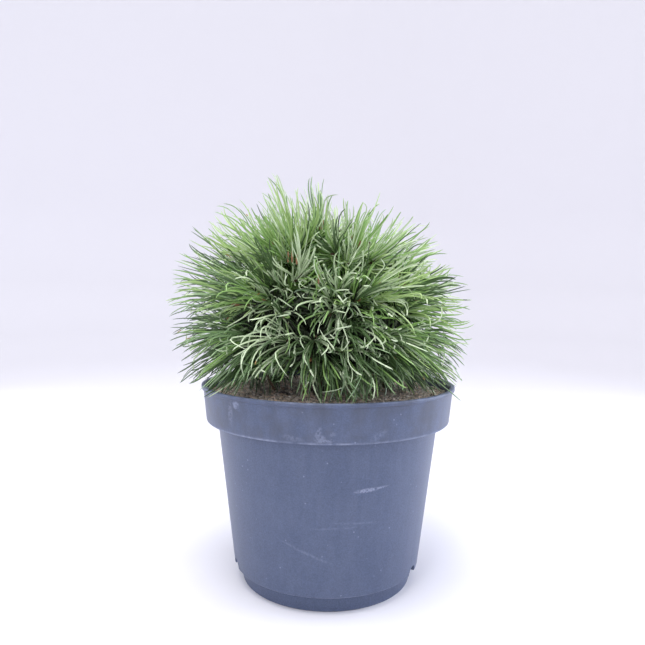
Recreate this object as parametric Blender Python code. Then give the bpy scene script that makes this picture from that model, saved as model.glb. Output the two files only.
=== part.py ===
"""A dwarf mountain pine in its nursery pot: pot, soil, trunk, boughs and masses of long needles.

Metres, +Z up. The origin is the middle of the pot's flat underside.
"""

import math
import random

import bmesh
import bpy
from mathutils import Vector, noise

# Pot: one moulded wall with a lip, a tall collar, a tapering body, a ledge and a set-in foot
POT_HEIGHT = 0.196
WALL = 0.002
LIP_RADIUS = 0.1275
LIP_HEIGHT = 0.0035
LIP_ROUND = 0.0008
COLLAR_TOP_RADIUS = 0.1255
COLLAR_FOOT_RADIUS = 0.1223
COLLAR_FOOT_Z = 0.1605
COLLAR_EDGE_ROUND = 0.0012
BODY_TOP_RADIUS = 0.1112
BODY_FOOT_RADIUS = 0.0937
LEDGE_Z = 0.0165
FOOT_TOP_RADIUS = 0.0862
FOOT_RADIUS = 0.0853
POT_SIDES = 36
SHARP_FROM = 30.0

# Drain arches through the ledge and the wall's lower edge, in pairs on the left and the right
DRAIN_AZIMUTHS = (-28.0, 20.0, 152.0, 200.0)
DRAIN_RADIUS = 0.0075
DRAIN_SIDES = 10

# Soil: fills the pot to a little under the lip, with a level patch that the trunk stands on
CLEAR = 0.0003
SOIL_LEVEL = 0.1870
SOIL_BUMP = 0.0022
SOIL_GRAIN = 0.018
SOIL_RINGS = (0.019, 0.045, 0.073, 0.099)

# Crown: a ball of needles that stands a little to one side of the pot's middle
CROWN_CENTRE = Vector((-0.007, 0.0, 0.260))
CROWN_RADIUS = 0.150
CROWN_SHORTEST = 0.93
OVER_SOIL = 0.1905
OVER_LIP = 0.1990
LIP_REACH = 0.117

# Trunk: a short stem with a root flare, hidden by the needles
TRUNK_FOOT = Vector((0.002, 0.001, SOIL_LEVEL + CLEAR))
TRUNK_TIP = Vector((-0.007, 0.0, 0.262))
TRUNK_BOW = Vector((0.003, 0.002, 0.0))
TRUNK_FOOT_RADIUS = 0.0098
TRUNK_TIP_RADIUS = 0.0052
ROOT_FLARE = 0.0048
ROOT_FLARE_HEIGHT = 0.10
ROOT_LOBES = 4
ROOT_LOBE_MIDDLE = 0.6
ROOT_LOBE_SWING = 0.4
TRUNK_SIDES = 12
TRUNK_AT = (0.0, 0.07, 0.26, 0.5, 0.67, 0.83, 1.0)

# Rings of boughs and masses: name, how many, elevation and first azimuth in degrees, height on the trunk
RINGS = (
    ("low", 7, -19.0, -96.0, 0.211),
    ("middle", 7, 12.0, -71.0, 0.231),
    ("high", 5, 47.0, -60.0, 0.249),
)
BOUGH_STAGGER = 0.0025
BOUGH_TIP_AT = 0.050
BOUGH_BEND_AT = 0.022
BOUGH_ROOT_RADIUS = 0.0030
BOUGH_TIP_RADIUS = 0.0021
BOUGH_SIDES = 6
BOUGH_SECTIONS = 4

# Twigs of a mass: a stem that runs on as a leader and bears side shoots, each a slim core for its needles
STEM_RADIUS = 0.0020
FORK_AT = 0.064
FORK_STEP = 0.005
SHOOT_TIP_AT = 0.099
SIDE_SHOOTS = 3
SHOOT_SPREAD_ACROSS = 0.34
SHOOT_SPREAD_UP = 0.22
SHOOT_SHORTEST = 0.95
SHOOT_FOOT_RADIUS = 0.0024
SHOOT_CORE_AT = 0.55
SHOOT_CORE_RADIUS = 0.0052
SHOOT_TIP_RADIUS = 0.0014
SHOOT_SIDES = 4

# Needles: each one here stands for a pair, so it is thicker than a single needle
NEEDLES_ALL_ROUND = 900
LOWEST_NEEDLE = -42.0
NEEDLE_SHAKE = 0.02
NEEDLE_STEPS = (0.0, 0.42, 1.0)
NEEDLE_RADII = (0.0, 0.0019, 0.0)
NEEDLE_SIDES = 3
NEEDLE_ROOT_LOWEST = 0.30
NEEDLE_ROOT_HIGHEST = 0.95
NEEDLE_WIDEST_LEAN = 55.0
NEEDLE_ALONG_SHOOT = 0.30
NEEDLE_ROOT_SHAKE = 0.1
SPACE_MARGIN = 0.0004
SEED = 11

UP = Vector((0.0, 0.0, 1.0))
GOLDEN_ANGLE = math.pi * (3.0 - math.sqrt(5.0))


def clear_scene():
    for obj in list(bpy.data.objects):
        bpy.data.objects.remove(obj, do_unlink=True)


def make_material(name, colour, roughness, metallic=0.0):
    material = bpy.data.materials.new(name)
    material.use_nodes = True
    shader = material.node_tree.nodes["Principled BSDF"]
    shader.inputs["Base Color"].default_value = (*colour, 1.0)
    shader.inputs["Roughness"].default_value = roughness
    shader.inputs["Metallic"].default_value = metallic
    return material


def add_object(name, mesh, material, collection=None):
    obj = bpy.data.objects.new(name, mesh)
    mesh.materials.clear()
    mesh.materials.append(material)
    (collection or bpy.context.scene.collection).objects.link(obj)
    return obj


def mesh_of(name, shape):
    mesh = bpy.data.meshes.new(name)
    bmesh.ops.recalc_face_normals(shape, faces=shape.faces)
    shape.to_mesh(mesh)
    shape.free()
    return mesh


def direction_of(azimuth, elevation):
    """The unit vector at these angles in degrees, azimuth from +X towards +Y."""
    turn = math.radians(azimuth)
    rise = math.radians(elevation)
    return Vector((math.cos(rise) * math.cos(turn), math.cos(rise) * math.sin(turn), math.sin(rise)))


def guide_for(axis):
    """A world axis that is well away from this one."""
    return Vector((0.0, 0.0, 1.0)) if abs(axis.z) < 0.75 else Vector((1.0, 0.0, 0.0))


def frame_round(axis, guide):
    """Two unit vectors that are square to the axis and to each other, turned by the guide."""
    first = axis.cross(guide).normalized()
    return first, axis.cross(first).normalized()


def bezier(start, control, end, t):
    return start * (1 - t) ** 2 + control * (2 * t * (1 - t)) + end * t**2


def bezier_tangent(start, control, end, t):
    return ((control - start) * (1 - t) + (end - control) * t).normalized()


def add_ring(shape, centre, axis, guide, radii):
    """A ring of vertices round the axis, with one radius for each."""
    first, second = frame_round(axis, guide)
    ring = []
    for i, radius in enumerate(radii):
        turn = 2 * math.pi * i / len(radii)
        ring.append(shape.verts.new(centre + (first * math.cos(turn) + second * math.sin(turn)) * radius))
    return ring


def bridge(shape, lower, upper):
    count = len(lower)
    for i in range(count):
        j = (i + 1) % count
        shape.faces.new((lower[i], lower[j], upper[j], upper[i]))


def limb(centres, axes, radii, sides):
    """A closed tapering limb through the centres, flat at each end, or pointed where the radius is nil."""
    shape = bmesh.new()
    rings = []
    guide = guide_for((centres[-1] - centres[0]).normalized())
    for centre, axis, radius in zip(centres, axes, radii):
        if radius > 0.0:
            rings.append(add_ring(shape, centre, axis, guide, [radius] * sides))
    for lower, upper in zip(rings, rings[1:]):
        bridge(shape, lower, upper)
    for ring, centre, radius in ((rings[0], centres[0], radii[0]), (rings[-1], centres[-1], radii[-1])):
        if radius > 0.0:
            shape.faces.new(ring)
            continue
        tip = shape.verts.new(centre)
        for i in range(sides):
            shape.faces.new((ring[i], ring[(i + 1) % sides], tip))
    return shape


def turned(outline, sides):
    """The outline, as pairs of radius and height that start and end on the axis, spun about Z."""
    shape = bmesh.new()
    points = [shape.verts.new((radius, 0.0, height)) for radius, height in outline]
    edges = [shape.edges.new(pair) for pair in zip(points, points[1:])]
    bmesh.ops.spin(
        shape,
        geom=points + edges,
        cent=(0, 0, 0),
        axis=(0, 0, 1),
        angle=2 * math.pi,
        steps=sides,
        use_merge=True,
    )
    bmesh.ops.remove_doubles(shape, verts=shape.verts, dist=1e-6)
    return shape


def collar_inside(height):
    """Inner radius of the collar at a height above its foot."""
    along = (height - COLLAR_FOOT_Z) / (POT_HEIGHT - COLLAR_FOOT_Z)
    return COLLAR_FOOT_RADIUS + (COLLAR_TOP_RADIUS - COLLAR_FOOT_RADIUS) * along - WALL


def pot_inside():
    """The pot's inner wall from the middle of its floor to the top of the shoulder."""
    return [
        (0.0, WALL),
        (FOOT_RADIUS - WALL, WALL),
        (FOOT_TOP_RADIUS - WALL, LEDGE_Z + WALL),
        (BODY_FOOT_RADIUS - WALL, LEDGE_Z + WALL),
        (BODY_TOP_RADIUS - WALL, COLLAR_FOOT_Z + WALL),
        (collar_inside(COLLAR_FOOT_Z + WALL), COLLAR_FOOT_Z + WALL),
    ]


def pot_outside():
    """The pot's outer wall from the middle of its underside to the lip."""
    lip_foot = POT_HEIGHT - LIP_HEIGHT
    return [
        (0.0, 0.0),
        (FOOT_RADIUS, 0.0),
        (FOOT_TOP_RADIUS, LEDGE_Z),
        (BODY_FOOT_RADIUS, LEDGE_Z),
        (BODY_TOP_RADIUS, COLLAR_FOOT_Z),
        (COLLAR_FOOT_RADIUS - COLLAR_EDGE_ROUND, COLLAR_FOOT_Z),
        (COLLAR_FOOT_RADIUS, COLLAR_FOOT_Z + COLLAR_EDGE_ROUND),
        (COLLAR_TOP_RADIUS, lip_foot - LIP_ROUND),
        (LIP_RADIUS, lip_foot),
        (LIP_RADIUS, POT_HEIGHT - LIP_ROUND),
        (LIP_RADIUS - LIP_ROUND, POT_HEIGHT),
        (collar_inside(POT_HEIGHT), POT_HEIGHT),
    ]


def build_pot(material):
    mesh = mesh_of("pot", turned(pot_outside() + pot_inside()[::-1], POT_SIDES))
    mesh.shade_smooth()
    mesh.set_sharp_from_angle(angle=math.radians(SHARP_FROM))
    pot = add_object("pot", mesh, material)
    for number, azimuth in enumerate(DRAIN_AZIMUTHS, 1):
        cut = pot.modifiers.new(f"drain arch {number}", "BOOLEAN")
        cut.operation = "DIFFERENCE"
        cut.object = drain_cutter(number, azimuth, material)
    return pot


def drain_cutter(number, azimuth, material):
    """A bar along the radius, outside the foot, that cuts an arch into the wall's lower edge."""
    outward = direction_of(azimuth, 0.0)
    height = Vector((0.0, 0.0, LEDGE_Z + CLEAR))
    ends = [outward * (FOOT_TOP_RADIUS + WALL / 2) + height, outward * (BODY_FOOT_RADIUS + WALL * 3) + height]
    shape = limb(ends, [outward, outward], [DRAIN_RADIUS, DRAIN_RADIUS], DRAIN_SIDES)
    cutter = add_object(f"cutter_drain_{number}", mesh_of("drain cutter", shape), material)
    cutter.hide_render = True
    cutter.display_type = "WIRE"
    return cutter


def build_soil(material):
    """The fill, clear of the pot's inner wall, with a crumbly top that is level under the trunk."""
    top_radius = collar_inside(SOIL_LEVEL) - CLEAR
    outline = [(max(radius - CLEAR, 0.0), height + CLEAR) for radius, height in pot_inside()]
    outline += [(top_radius, SOIL_LEVEL)]
    outline += [(radius, SOIL_LEVEL) for radius in reversed(SOIL_RINGS)]
    outline += [(0.0, SOIL_LEVEL)]
    shape = turned(outline, POT_SIDES)
    for vert in shape.verts:
        radius = math.hypot(vert.co.x, vert.co.y)
        on_top = abs(vert.co.z - SOIL_LEVEL) < CLEAR
        if on_top and SOIL_RINGS[0] + CLEAR < radius < top_radius - CLEAR:
            vert.co.z -= SOIL_BUMP * abs(noise.noise(vert.co / SOIL_GRAIN))
    return add_object("soil", mesh_of("soil", shape), material)


def trunk_centre(t):
    return TRUNK_FOOT.lerp(TRUNK_TIP, t) + TRUNK_BOW * math.sin(math.pi * t)


def trunk_mesh(swell):
    """The trunk from its flat foot to its tip, thicker all round by swell."""
    shape = bmesh.new()
    rings = []
    for t in TRUNK_AT:
        taper = TRUNK_FOOT_RADIUS + (TRUNK_TIP_RADIUS - TRUNK_FOOT_RADIUS) * t
        flare = ROOT_FLARE * math.exp(-t / ROOT_FLARE_HEIGHT)
        radii = []
        for side in range(TRUNK_SIDES):
            turn = 2 * math.pi * side / TRUNK_SIDES
            lobes = ROOT_LOBE_MIDDLE + ROOT_LOBE_SWING * math.cos(ROOT_LOBES * turn)
            radii.append(taper + flare * lobes + swell)
        rings.append(add_ring(shape, trunk_centre(t), UP, Vector((1.0, 0.0, 0.0)), radii))
    for lower, upper in zip(rings, rings[1:]):
        bridge(shape, lower, upper)
    shape.faces.new(rings[0])
    shape.faces.new(rings[-1])
    return mesh_of("trunk", shape)


def build_trunk(material):
    trunk = add_object("trunk", trunk_mesh(0.0), material)
    cutter = add_object("cutter_trunk", trunk_mesh(CLEAR), material)
    cutter.hide_render = True
    cutter.display_type = "WIRE"
    return trunk, cutter


def masses():
    """Each mass's name, its direction from the crown's centre and the height of its bough on the trunk."""
    found = [("top", UP, None)]
    for ring, count, elevation, first, height in RINGS:
        for i in range(count):
            azimuth = first + 360.0 * i / count
            stagger = BOUGH_STAGGER * (1 if i % 2 else -1)
            found.append((f"{ring}_{i + 1}", direction_of(azimuth, elevation), height + stagger))
    return found


def build_bough(name, direction, height, material, trunk_cutter):
    """One limb from the trunk to the foot of its mass's stem."""
    along = (height - TRUNK_FOOT.z) / (TRUNK_TIP.z - TRUNK_FOOT.z)
    start = trunk_centre(along)
    end = CROWN_CENTRE + direction * BOUGH_TIP_AT
    control = end - direction * BOUGH_BEND_AT
    steps = [i / (BOUGH_SECTIONS - 1) for i in range(BOUGH_SECTIONS)]
    shape = limb(
        [bezier(start, control, end, t) for t in steps],
        [bezier_tangent(start, control, end, t) for t in steps],
        [BOUGH_ROOT_RADIUS + (BOUGH_TIP_RADIUS - BOUGH_ROOT_RADIUS) * t for t in steps],
        BOUGH_SIDES,
    )
    bough = add_object(f"bough_{name}", mesh_of("bough", shape), material)
    cut = bough.modifiers.new("clear of the trunk", "BOOLEAN")
    cut.operation = "DIFFERENCE"
    cut.object = trunk_cutter
    return bough


def shoots_of(direction, chance):
    """Foot and tip of each shoot of a mass: a leader, and side shoots that leave it one above another."""
    first, second = frame_round(direction, guide_for(direction))
    fork = CROWN_CENTRE + direction * FORK_AT
    shoots = [(fork, CROWN_CENTRE + direction * SHOOT_TIP_AT)]
    start_turn = chance.uniform(0.0, 2 * math.pi)
    for i in range(SIDE_SHOOTS):
        turn = start_turn + 2 * math.pi * i / SIDE_SHOOTS
        sideways = first * math.cos(turn) * SHOOT_SPREAD_ACROSS + second * math.sin(turn) * SHOOT_SPREAD_UP
        tip = (direction + sideways).normalized() * SHOOT_TIP_AT * chance.uniform(SHOOT_SHORTEST, 1.0)
        foot = fork + direction * FORK_STEP * (i - (SIDE_SHOOTS - 1) / 2)
        shoots.append((foot, CROWN_CENTRE + tip))
    return shoots


def leader_limb(foot, shoot):
    """The stem and its leading shoot as one limb, with the shoot's slim core past the fork."""
    fork, tip = shoot
    axis = (tip - foot).normalized()
    centres = [foot, fork, fork.lerp(tip, SHOOT_CORE_AT), tip]
    radii = (STEM_RADIUS, SHOOT_FOOT_RADIUS, SHOOT_CORE_RADIUS, SHOOT_TIP_RADIUS)
    return limb(centres, [axis] * len(centres), radii, SHOOT_SIDES)


def side_limb(shoot):
    """A side shoot, pointed where it starts inside the leader, with a slim core."""
    foot, tip = shoot
    axis = (tip - foot).normalized()
    centres = [foot, foot.lerp(tip, SHOOT_CORE_AT), tip]
    return limb(centres, [axis] * len(centres), (0.0, SHOOT_CORE_RADIUS, SHOOT_TIP_RADIUS), SHOOT_SIDES)


def needle_reach(direction):
    """How far the crown reaches in a direction: a ball, cut off over the soil and over the pot's lip."""
    reach = CROWN_RADIUS
    if direction.z < 0:
        tip = CROWN_CENTRE + direction * reach
        over = OVER_LIP if math.hypot(tip.x, tip.y) > LIP_REACH else OVER_SOIL
        reach = min(reach, (CROWN_CENTRE.z - over) / -direction.z)
        tip = CROWN_CENTRE + direction * reach
        if math.hypot(tip.x, tip.y) > LIP_REACH and tip.z < OVER_LIP:
            reach = (CROWN_CENTRE.z - OVER_LIP) / -direction.z
    return reach


def needle_directions(chance):
    """Directions spread evenly over the crown, from its top to its lowest needles."""
    lowest = math.sin(math.radians(LOWEST_NEEDLE))
    for i in range(NEEDLES_ALL_ROUND):
        rise = 1 - 2 * (i + 0.5) / NEEDLES_ALL_ROUND
        if rise < lowest:
            return
        turn = i * GOLDEN_ANGLE
        flat = math.sqrt(1 - rise * rise)
        shake = Vector([chance.gauss(0, NEEDLE_SHAKE) for _ in range(3)])
        yield (Vector((flat * math.cos(turn), flat * math.sin(turn), rise)) + shake).normalized()


def needle(shoot, tip, chance):
    """One needle from well inside its shoot's core to its tip: the more it leans, the lower its root."""
    foot, shoot_tip = shoot
    axis = (shoot_tip - foot).normalized()
    lean = math.degrees(axis.angle(tip - shoot_tip)) / NEEDLE_WIDEST_LEAN
    low_down = min(lean + chance.uniform(0.0, NEEDLE_ROOT_SHAKE), 1.0)
    root = foot.lerp(shoot_tip, NEEDLE_ROOT_HIGHEST + (NEEDLE_ROOT_LOWEST - NEEDLE_ROOT_HIGHEST) * low_down)
    length = (tip - root).length
    control = root.lerp(tip, 0.5 - NEEDLE_ALONG_SHOOT / 2) + axis * length * NEEDLE_ALONG_SHOOT / 2
    return limb(
        [bezier(root, control, tip, t) for t in NEEDLE_STEPS],
        [bezier_tangent(root, control, tip, t) for t in NEEDLE_STEPS],
        NEEDLE_RADII,
        NEEDLE_SIDES,
    )


def in_own_space(shape, direction, others):
    """Whether every corner lies nearer this mass's direction than any other's, by a margin."""
    for other in others:
        normal = (direction - other).normalized()
        if any((vert.co - CROWN_CENTRE).dot(normal) < SPACE_MARGIN for vert in shape.verts):
            return False
    return True


def clear_of_pot(shape):
    for vert in shape.verts:
        far_out = math.hypot(vert.co.x, vert.co.y) > LIP_REACH
        if vert.co.z < (OVER_LIP if far_out else OVER_SOIL) - 2 * CLEAR:
            return False
    return True


def add_if_clear(shape, shapes, direction, others):
    """Keeps a twig or needle that stays in its mass's space and over the pot, and skips any other."""
    clear = in_own_space(shape, direction, others) and clear_of_pot(shape)
    if clear:
        shapes.append(shape)
    else:
        shape.free()
    return clear


def signed_volume(faces):
    total = 0.0
    for face in faces:
        corners = [vert.co for vert in face.verts]
        for second, third in zip(corners[1:], corners[2:]):
            total += corners[0].dot(second.cross(third)) / 6
    return total


def keep_main_body(mesh):
    """Drops loose scraps and the walls of sealed hollows, which are bodies of their own."""
    shape = bmesh.new()
    shape.from_mesh(mesh)
    waiting = set(shape.faces)
    bodies = []
    while waiting:
        front = [waiting.pop()]
        body = list(front)
        while front:
            face = front.pop()
            for edge in face.edges:
                for neighbour in edge.link_faces:
                    if neighbour in waiting:
                        waiting.remove(neighbour)
                        front.append(neighbour)
                        body.append(neighbour)
        bodies.append(body)
    main = max(bodies, key=signed_volume)
    spare = [face for body in bodies if body is not main for face in body]
    bmesh.ops.delete(shape, geom=spare, context="FACES")
    bmesh.ops.triangulate(shape, faces=shape.faces)
    shape.to_mesh(mesh)
    shape.free()


def fuse(name, shapes, material):
    """Joins the shapes with one union on a collection, and removes the collection's objects."""
    group = bpy.data.collections.new(name)
    bpy.context.scene.collection.children.link(group)
    base = add_object(name, mesh_of(name, shapes[0]), material)
    for shape in shapes[1:]:
        add_object("piece", mesh_of("piece", shape), material, group)
    union = base.modifiers.new("union", "BOOLEAN")
    union.operation = "UNION"
    union.operand_type = "COLLECTION"
    union.collection = group
    bpy.context.view_layer.update()
    graph = bpy.context.evaluated_depsgraph_get()
    joined = bpy.data.meshes.new_from_object(base.evaluated_get(graph))
    base.modifiers.clear()
    for piece in list(group.objects):
        bpy.data.objects.remove(piece, do_unlink=True)
    bpy.data.collections.remove(group)
    keep_main_body(joined)
    base.data = joined
    base.data.name = name
    return base


def build_mass(name, direction, others, tips, material, chance):
    """A stem, its shoots and their needles, kept to the mass's own space and fused."""
    foot = TRUNK_TIP.copy() if name == "top" else CROWN_CENTRE + direction * BOUGH_TIP_AT
    foot += direction * CLEAR
    leader, *side_shoots = shoots_of(direction, chance)
    shapes = [leader_limb(foot, leader)]
    shoots = [leader]
    for shoot in side_shoots:
        if add_if_clear(side_limb(shoot), shapes, direction, others):
            shoots.append(shoot)
    for tip in tips:
        shoot = min(shoots, key=lambda ends: (ends[1] - tip).length)
        add_if_clear(needle(shoot, tip, chance), shapes, direction, others)
    return fuse(f"foliage_{name}", shapes, material)


def main():
    clear_scene()
    chance = random.Random(SEED)
    plastic = make_material("moulded grey polypropylene", (0.10, 0.12, 0.19), 0.42)
    peat = make_material("peat and bark", (0.075, 0.062, 0.050), 0.95)
    bark = make_material("pine bark", (0.12, 0.085, 0.060), 0.90)
    green = make_material("pine needles", (0.085, 0.17, 0.060), 0.50)

    build_pot(plastic)
    build_soil(peat)
    _, trunk_cutter = build_trunk(bark)

    placed = masses()
    tips = {name: [] for name, _, _ in placed}
    for direction in needle_directions(chance):
        nearest = max(placed, key=lambda mass: mass[1].dot(direction))
        reach = needle_reach(direction) * chance.uniform(CROWN_SHORTEST, 1.0)
        tips[nearest[0]].append(CROWN_CENTRE + direction * reach)

    for name, direction, height in placed:
        if height is not None:
            build_bough(name, direction, height, bark, trunk_cutter)
        others = [other for other_name, other, _ in placed if other_name != name]
        build_mass(name, direction, others, tips[name], green, chance)


if __name__ == "__main__":
    main()
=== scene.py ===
"""Dresses the potted dwarf pine: pot, soil, bark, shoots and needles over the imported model.

Metres, +Z up. The origin is the middle of the pot's flat underside.
"""

import math
import random
from functools import partial
from typing import NamedTuple

import bmesh
import bpy
import numpy as np
from bpy.props import FloatProperty, FloatVectorProperty, IntProperty, PointerProperty
from bpy.types import Operator, Panel, PropertyGroup
from mathutils import Matrix, Vector, noise


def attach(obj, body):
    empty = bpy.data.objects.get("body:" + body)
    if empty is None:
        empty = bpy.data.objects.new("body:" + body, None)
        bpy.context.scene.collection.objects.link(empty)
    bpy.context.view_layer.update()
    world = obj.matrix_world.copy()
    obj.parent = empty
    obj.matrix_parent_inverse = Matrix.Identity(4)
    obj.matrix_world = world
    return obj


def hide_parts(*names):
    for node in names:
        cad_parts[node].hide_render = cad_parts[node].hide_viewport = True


bl_info = {
    "name": "Potted dwarf pine",
    "version": (1, 0, 0),
    "blender": (4, 5, 0),
    "location": "View3D > Sidebar > Pine",
    "description": "Builds the finished surfaces of a dwarf pine in its nursery pot",
    "category": "Object",
}

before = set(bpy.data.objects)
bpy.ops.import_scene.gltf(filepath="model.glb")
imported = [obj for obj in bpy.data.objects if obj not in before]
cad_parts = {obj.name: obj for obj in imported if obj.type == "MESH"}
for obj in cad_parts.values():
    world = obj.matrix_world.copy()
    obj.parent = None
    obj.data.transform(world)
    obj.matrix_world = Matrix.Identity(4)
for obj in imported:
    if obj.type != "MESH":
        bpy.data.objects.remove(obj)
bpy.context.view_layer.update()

# Pot: the same turned outline as the solids, here with its corners rounded
POT_HEIGHT = 0.196
WALL = 0.002
LIP_RADIUS = 0.1275
LIP_HEIGHT = 0.0035
COLLAR_TOP_RADIUS = 0.1255
COLLAR_FOOT_RADIUS = 0.1223
COLLAR_FOOT_Z = 0.1605
BODY_TOP_RADIUS = 0.1112
BODY_FOOT_RADIUS = 0.0937
LEDGE_Z = 0.0165
FOOT_TOP_RADIUS = 0.0862
FOOT_RADIUS = 0.0853
DRAIN_AZIMUTHS = (-28.0, 20.0, 152.0, 200.0)
DRAIN_RADIUS = 0.0075
DRAIN_SIDES = 32
SHARP_FROM = math.radians(50)

# Soil: fills the pot to a little under the lip, and is level where the trunk stands
CLEAR = 0.0003
SOIL_LEVEL = 0.1870
SOIL_BUMP = 0.0022
SOIL_GRAIN = 0.018
FINE_BUMP = 0.0009
FINE_GRAIN = 0.005
LEVEL_OUT_TO = 0.012
EASED_OVER = 0.010
# Lumps of peat are about 4 mm across, and a crumb has seven bumps in 10 mm
PEAT_LUMP = 0.0038462
CRUMB_GRAIN = 0.010 / 7
SOIL_SIDES = 144
SOIL_RINGS = 64

# Crown: a ball of needles, cut off over the soil and over the pot's lip
CROWN_CENTRE = Vector((-0.007, 0.0, 0.260))
CROWN_RADIUS = 0.150
CROWN_RISE = 0.147
# Where the crown is fuller or flatter than a ball: azimuth, elevation, how much and how narrowly
CROWN_SWELLS = (
    (180.0, 28.0, 0.050, 12),
    (180.0, -2.0, 0.035, 12),
    (180.0, 62.0, 0.050, 12),
    (180.0, 88.0, 0.085, 40),
    (0.0, 70.0, -0.300, 28),
    (0.0, 50.0, -0.085, 12),
    (-55.0, 66.0, -0.120, 28),
    (70.0, 20.0, 0.030, 12),
    (-90.0, 5.0, 0.010, 12),
)
CROWN_LIMIT = 0.158
# Where the needles are sparse and let the background through: azimuth, elevation, share left out
THIN_PLACES = ((180.0, -24.0, 0.45), (180.0, 80.0, 0.62), (0.0, 66.0, 0.62))
THIN_NARROW = 10
OVER_SOIL = 0.1890
OVER_LIP = 0.1975
LIP_REACH = 0.117
PAST_LIP = 0.1305
OUTSIDE_LIP = 0.1800
# Where a few needles hang outside the pot: azimuth and how far to each side of it
OVERHANGS = ((-26.0, 6.0), (-144.0, 6.0), (64.0, 9.0), (150.0, 6.0))
# Where the needles stay up and the soil shows: azimuth, how far to each side of it and how high
BARE_SOIL = ((-118.0, 19.0, 0.026), (-50.0, 20.0, 0.024), (35.0, 14.0, 0.016), (120.0, 16.0, 0.018))

# Trunk and boughs
TRUNK_FOOT = Vector((0.002, 0.001, SOIL_LEVEL))
TRUNK_TIP = Vector((-0.007, 0.0, 0.262))
TRUNK_BOW = Vector((0.003, 0.002, 0.0))
TRUNK_FOOT_RADIUS = 0.0098
TRUNK_TIP_RADIUS = 0.0052
TRUNK_STEPS = 56
TRUNK_SIDES = 48
# The steps lie closer at the trunk's foot, where it flares
STEPS_DRAWN_DOWN = 0.6
ROOT_FLARE = 0.0048
# Over what share of the trunk the flare dies away
ROOT_FLARE_HEIGHT = 0.10
ROOT_LOBES = 4
# Each lobe's share of the flare
LOBE_SHARE = 0.4
RINGS = (
    ("low", 7, -19.0, -96.0, 0.211),
    ("middle", 7, 12.0, -71.0, 0.231),
    ("high", 5, 47.0, -60.0, 0.249),
)
BOUGH_STAGGER = 0.0025
BOUGH_TIP_AT = 0.050
BOUGH_BEND_AT = 0.022
BOUGH_ROOT_RADIUS = 0.0030
BOUGH_TIP_RADIUS = 0.0021
BOUGH_STEPS = 22
BOUGH_SIDES = 16
# Bark on a bough has half the relief of the trunk's
BOUGH_RELIEF = 0.5
# A plate's length over its width, and a furrow's share of that width
PLATE_LENGTH = 2.2
FURROW_WIDTH = 0.30
# How large the bark's fine grain is, and how high against the furrow's depth
BARK_GRAIN = 0.0016
BARK_ROUGHNESS = 0.25
BARK_FLECK = 0.002

# Shoots: a leader and side shoots for each mass, and finer shoots that fill the crown between them
FORK_AT = 0.064
FORK_STEP = 0.005
SHOOT_TIP_AT = 0.099
SIDE_SHOOTS = 3
SIDE_SHOOT_BEND = 0.006
SHOOT_SPREAD_ACROSS = 0.34
SHOOT_SPREAD_UP = 0.22
LOWEST_SHOOT = -46.0
SHOOT_OVER_SOIL = 0.006
SHOOT_RADIUS = 0.0020
SHOOT_STEPS = 6
# A shoot's thickness at its foot and at its tip, as shares of that radius
STEM_TAPER = (1.05, 0.95)
LEADER_TAPER = (0.95, 0.65)
SIDE_TAPER = (0.90, 0.60)
FINE_TAPER = (0.75, 0.55)
# How far out each kind's tip lies, as shares of the usual distance
LEADER_REACH = (0.96, 1.0)
SIDE_REACH = (0.93, 1.0)
FINE_REACH = (0.90, 1.02)
# How far up its parent a fine shoot stands: less by its lean in radians, and within these shares
FINE_FOOT = 0.75
FINE_FOOT_LEAST = 0.05
FINE_FOOT_MOST = 0.80
# Where along it a fine shoot bends, and how far it follows its parent's growth first
FINE_BEND_AT = 0.45
FINE_BEND = 0.18
# How close two shoots may stand and how much a fine one is shaken, against even places on a ball
FINE_APART = 0.62
FINE_SHAKE = 0.035
KNOB_WIDTH = 0.0025
BUD_RADIUS = 0.0017
# A bud's radius from its foot to its point, as shares of its widest
BUD_SWELL = (0.65, 0.95, 0.97, 0.70, 0.12)
BUD_LENGTH = (0.006, 0.009)
SIDE_BUD_LENGTH = (0.004, 0.006)
SIDE_BUD_SHARE = 0.65
FRONT_BUD_SHARE = 0.53
# How deep a bud sits in its shoot's tip, how many stand beside it and how far those lean
BUD_SUNK = 0.001
SIDE_BUD_SUNK = 0.002
SIDE_BUDS = (0, 0, 1, 2)
SIDE_BUD_LEAN = 0.5
# Upright buds that show between the needles in front: azimuth, elevation, length and how far out
FRONT_BUDS = (
    (-107.0, 27.5, 0.010, 0.113),
    (-104.9, 27.5, 0.012, 0.113),
    (-102.4, 26.5, 0.009, 0.113),
    (-91.4, 16.5, 0.009, 0.119),
)

UP = Vector((0.0, 0.0, 1.0))
GOLDEN_ANGLE = math.pi * (3.0 - math.sqrt(5.0))


def linear(hex_colour):
    """The linear RGBA of an sRGB hex colour."""
    values = [int(hex_colour[i : i + 2], 16) / 255 for i in (1, 3, 5)]
    values = [v / 12.92 if v <= 0.04045 else ((v + 0.055) / 1.055) ** 2.4 for v in values]
    return (*values, 1.0)


def a_colour(name, description, hex_colour):
    """A colour that the user may change."""
    kind = {"subtype": "COLOR", "size": 4, "min": 0.0, "max": 1.0}
    return FloatVectorProperty(name=name, description=description, default=linear(hex_colour), **kind)


def a_number(name, description, default, least, most, **unit):
    """A number that the user may change, whole where its default is whole."""
    kind = IntProperty if isinstance(default, int) else FloatProperty
    return kind(name=name, description=description, default=default, min=least, max=most, **unit)


def a_length(name, description, default, least, most):
    return a_number(name, description, default, least, most, unit="LENGTH")


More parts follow.
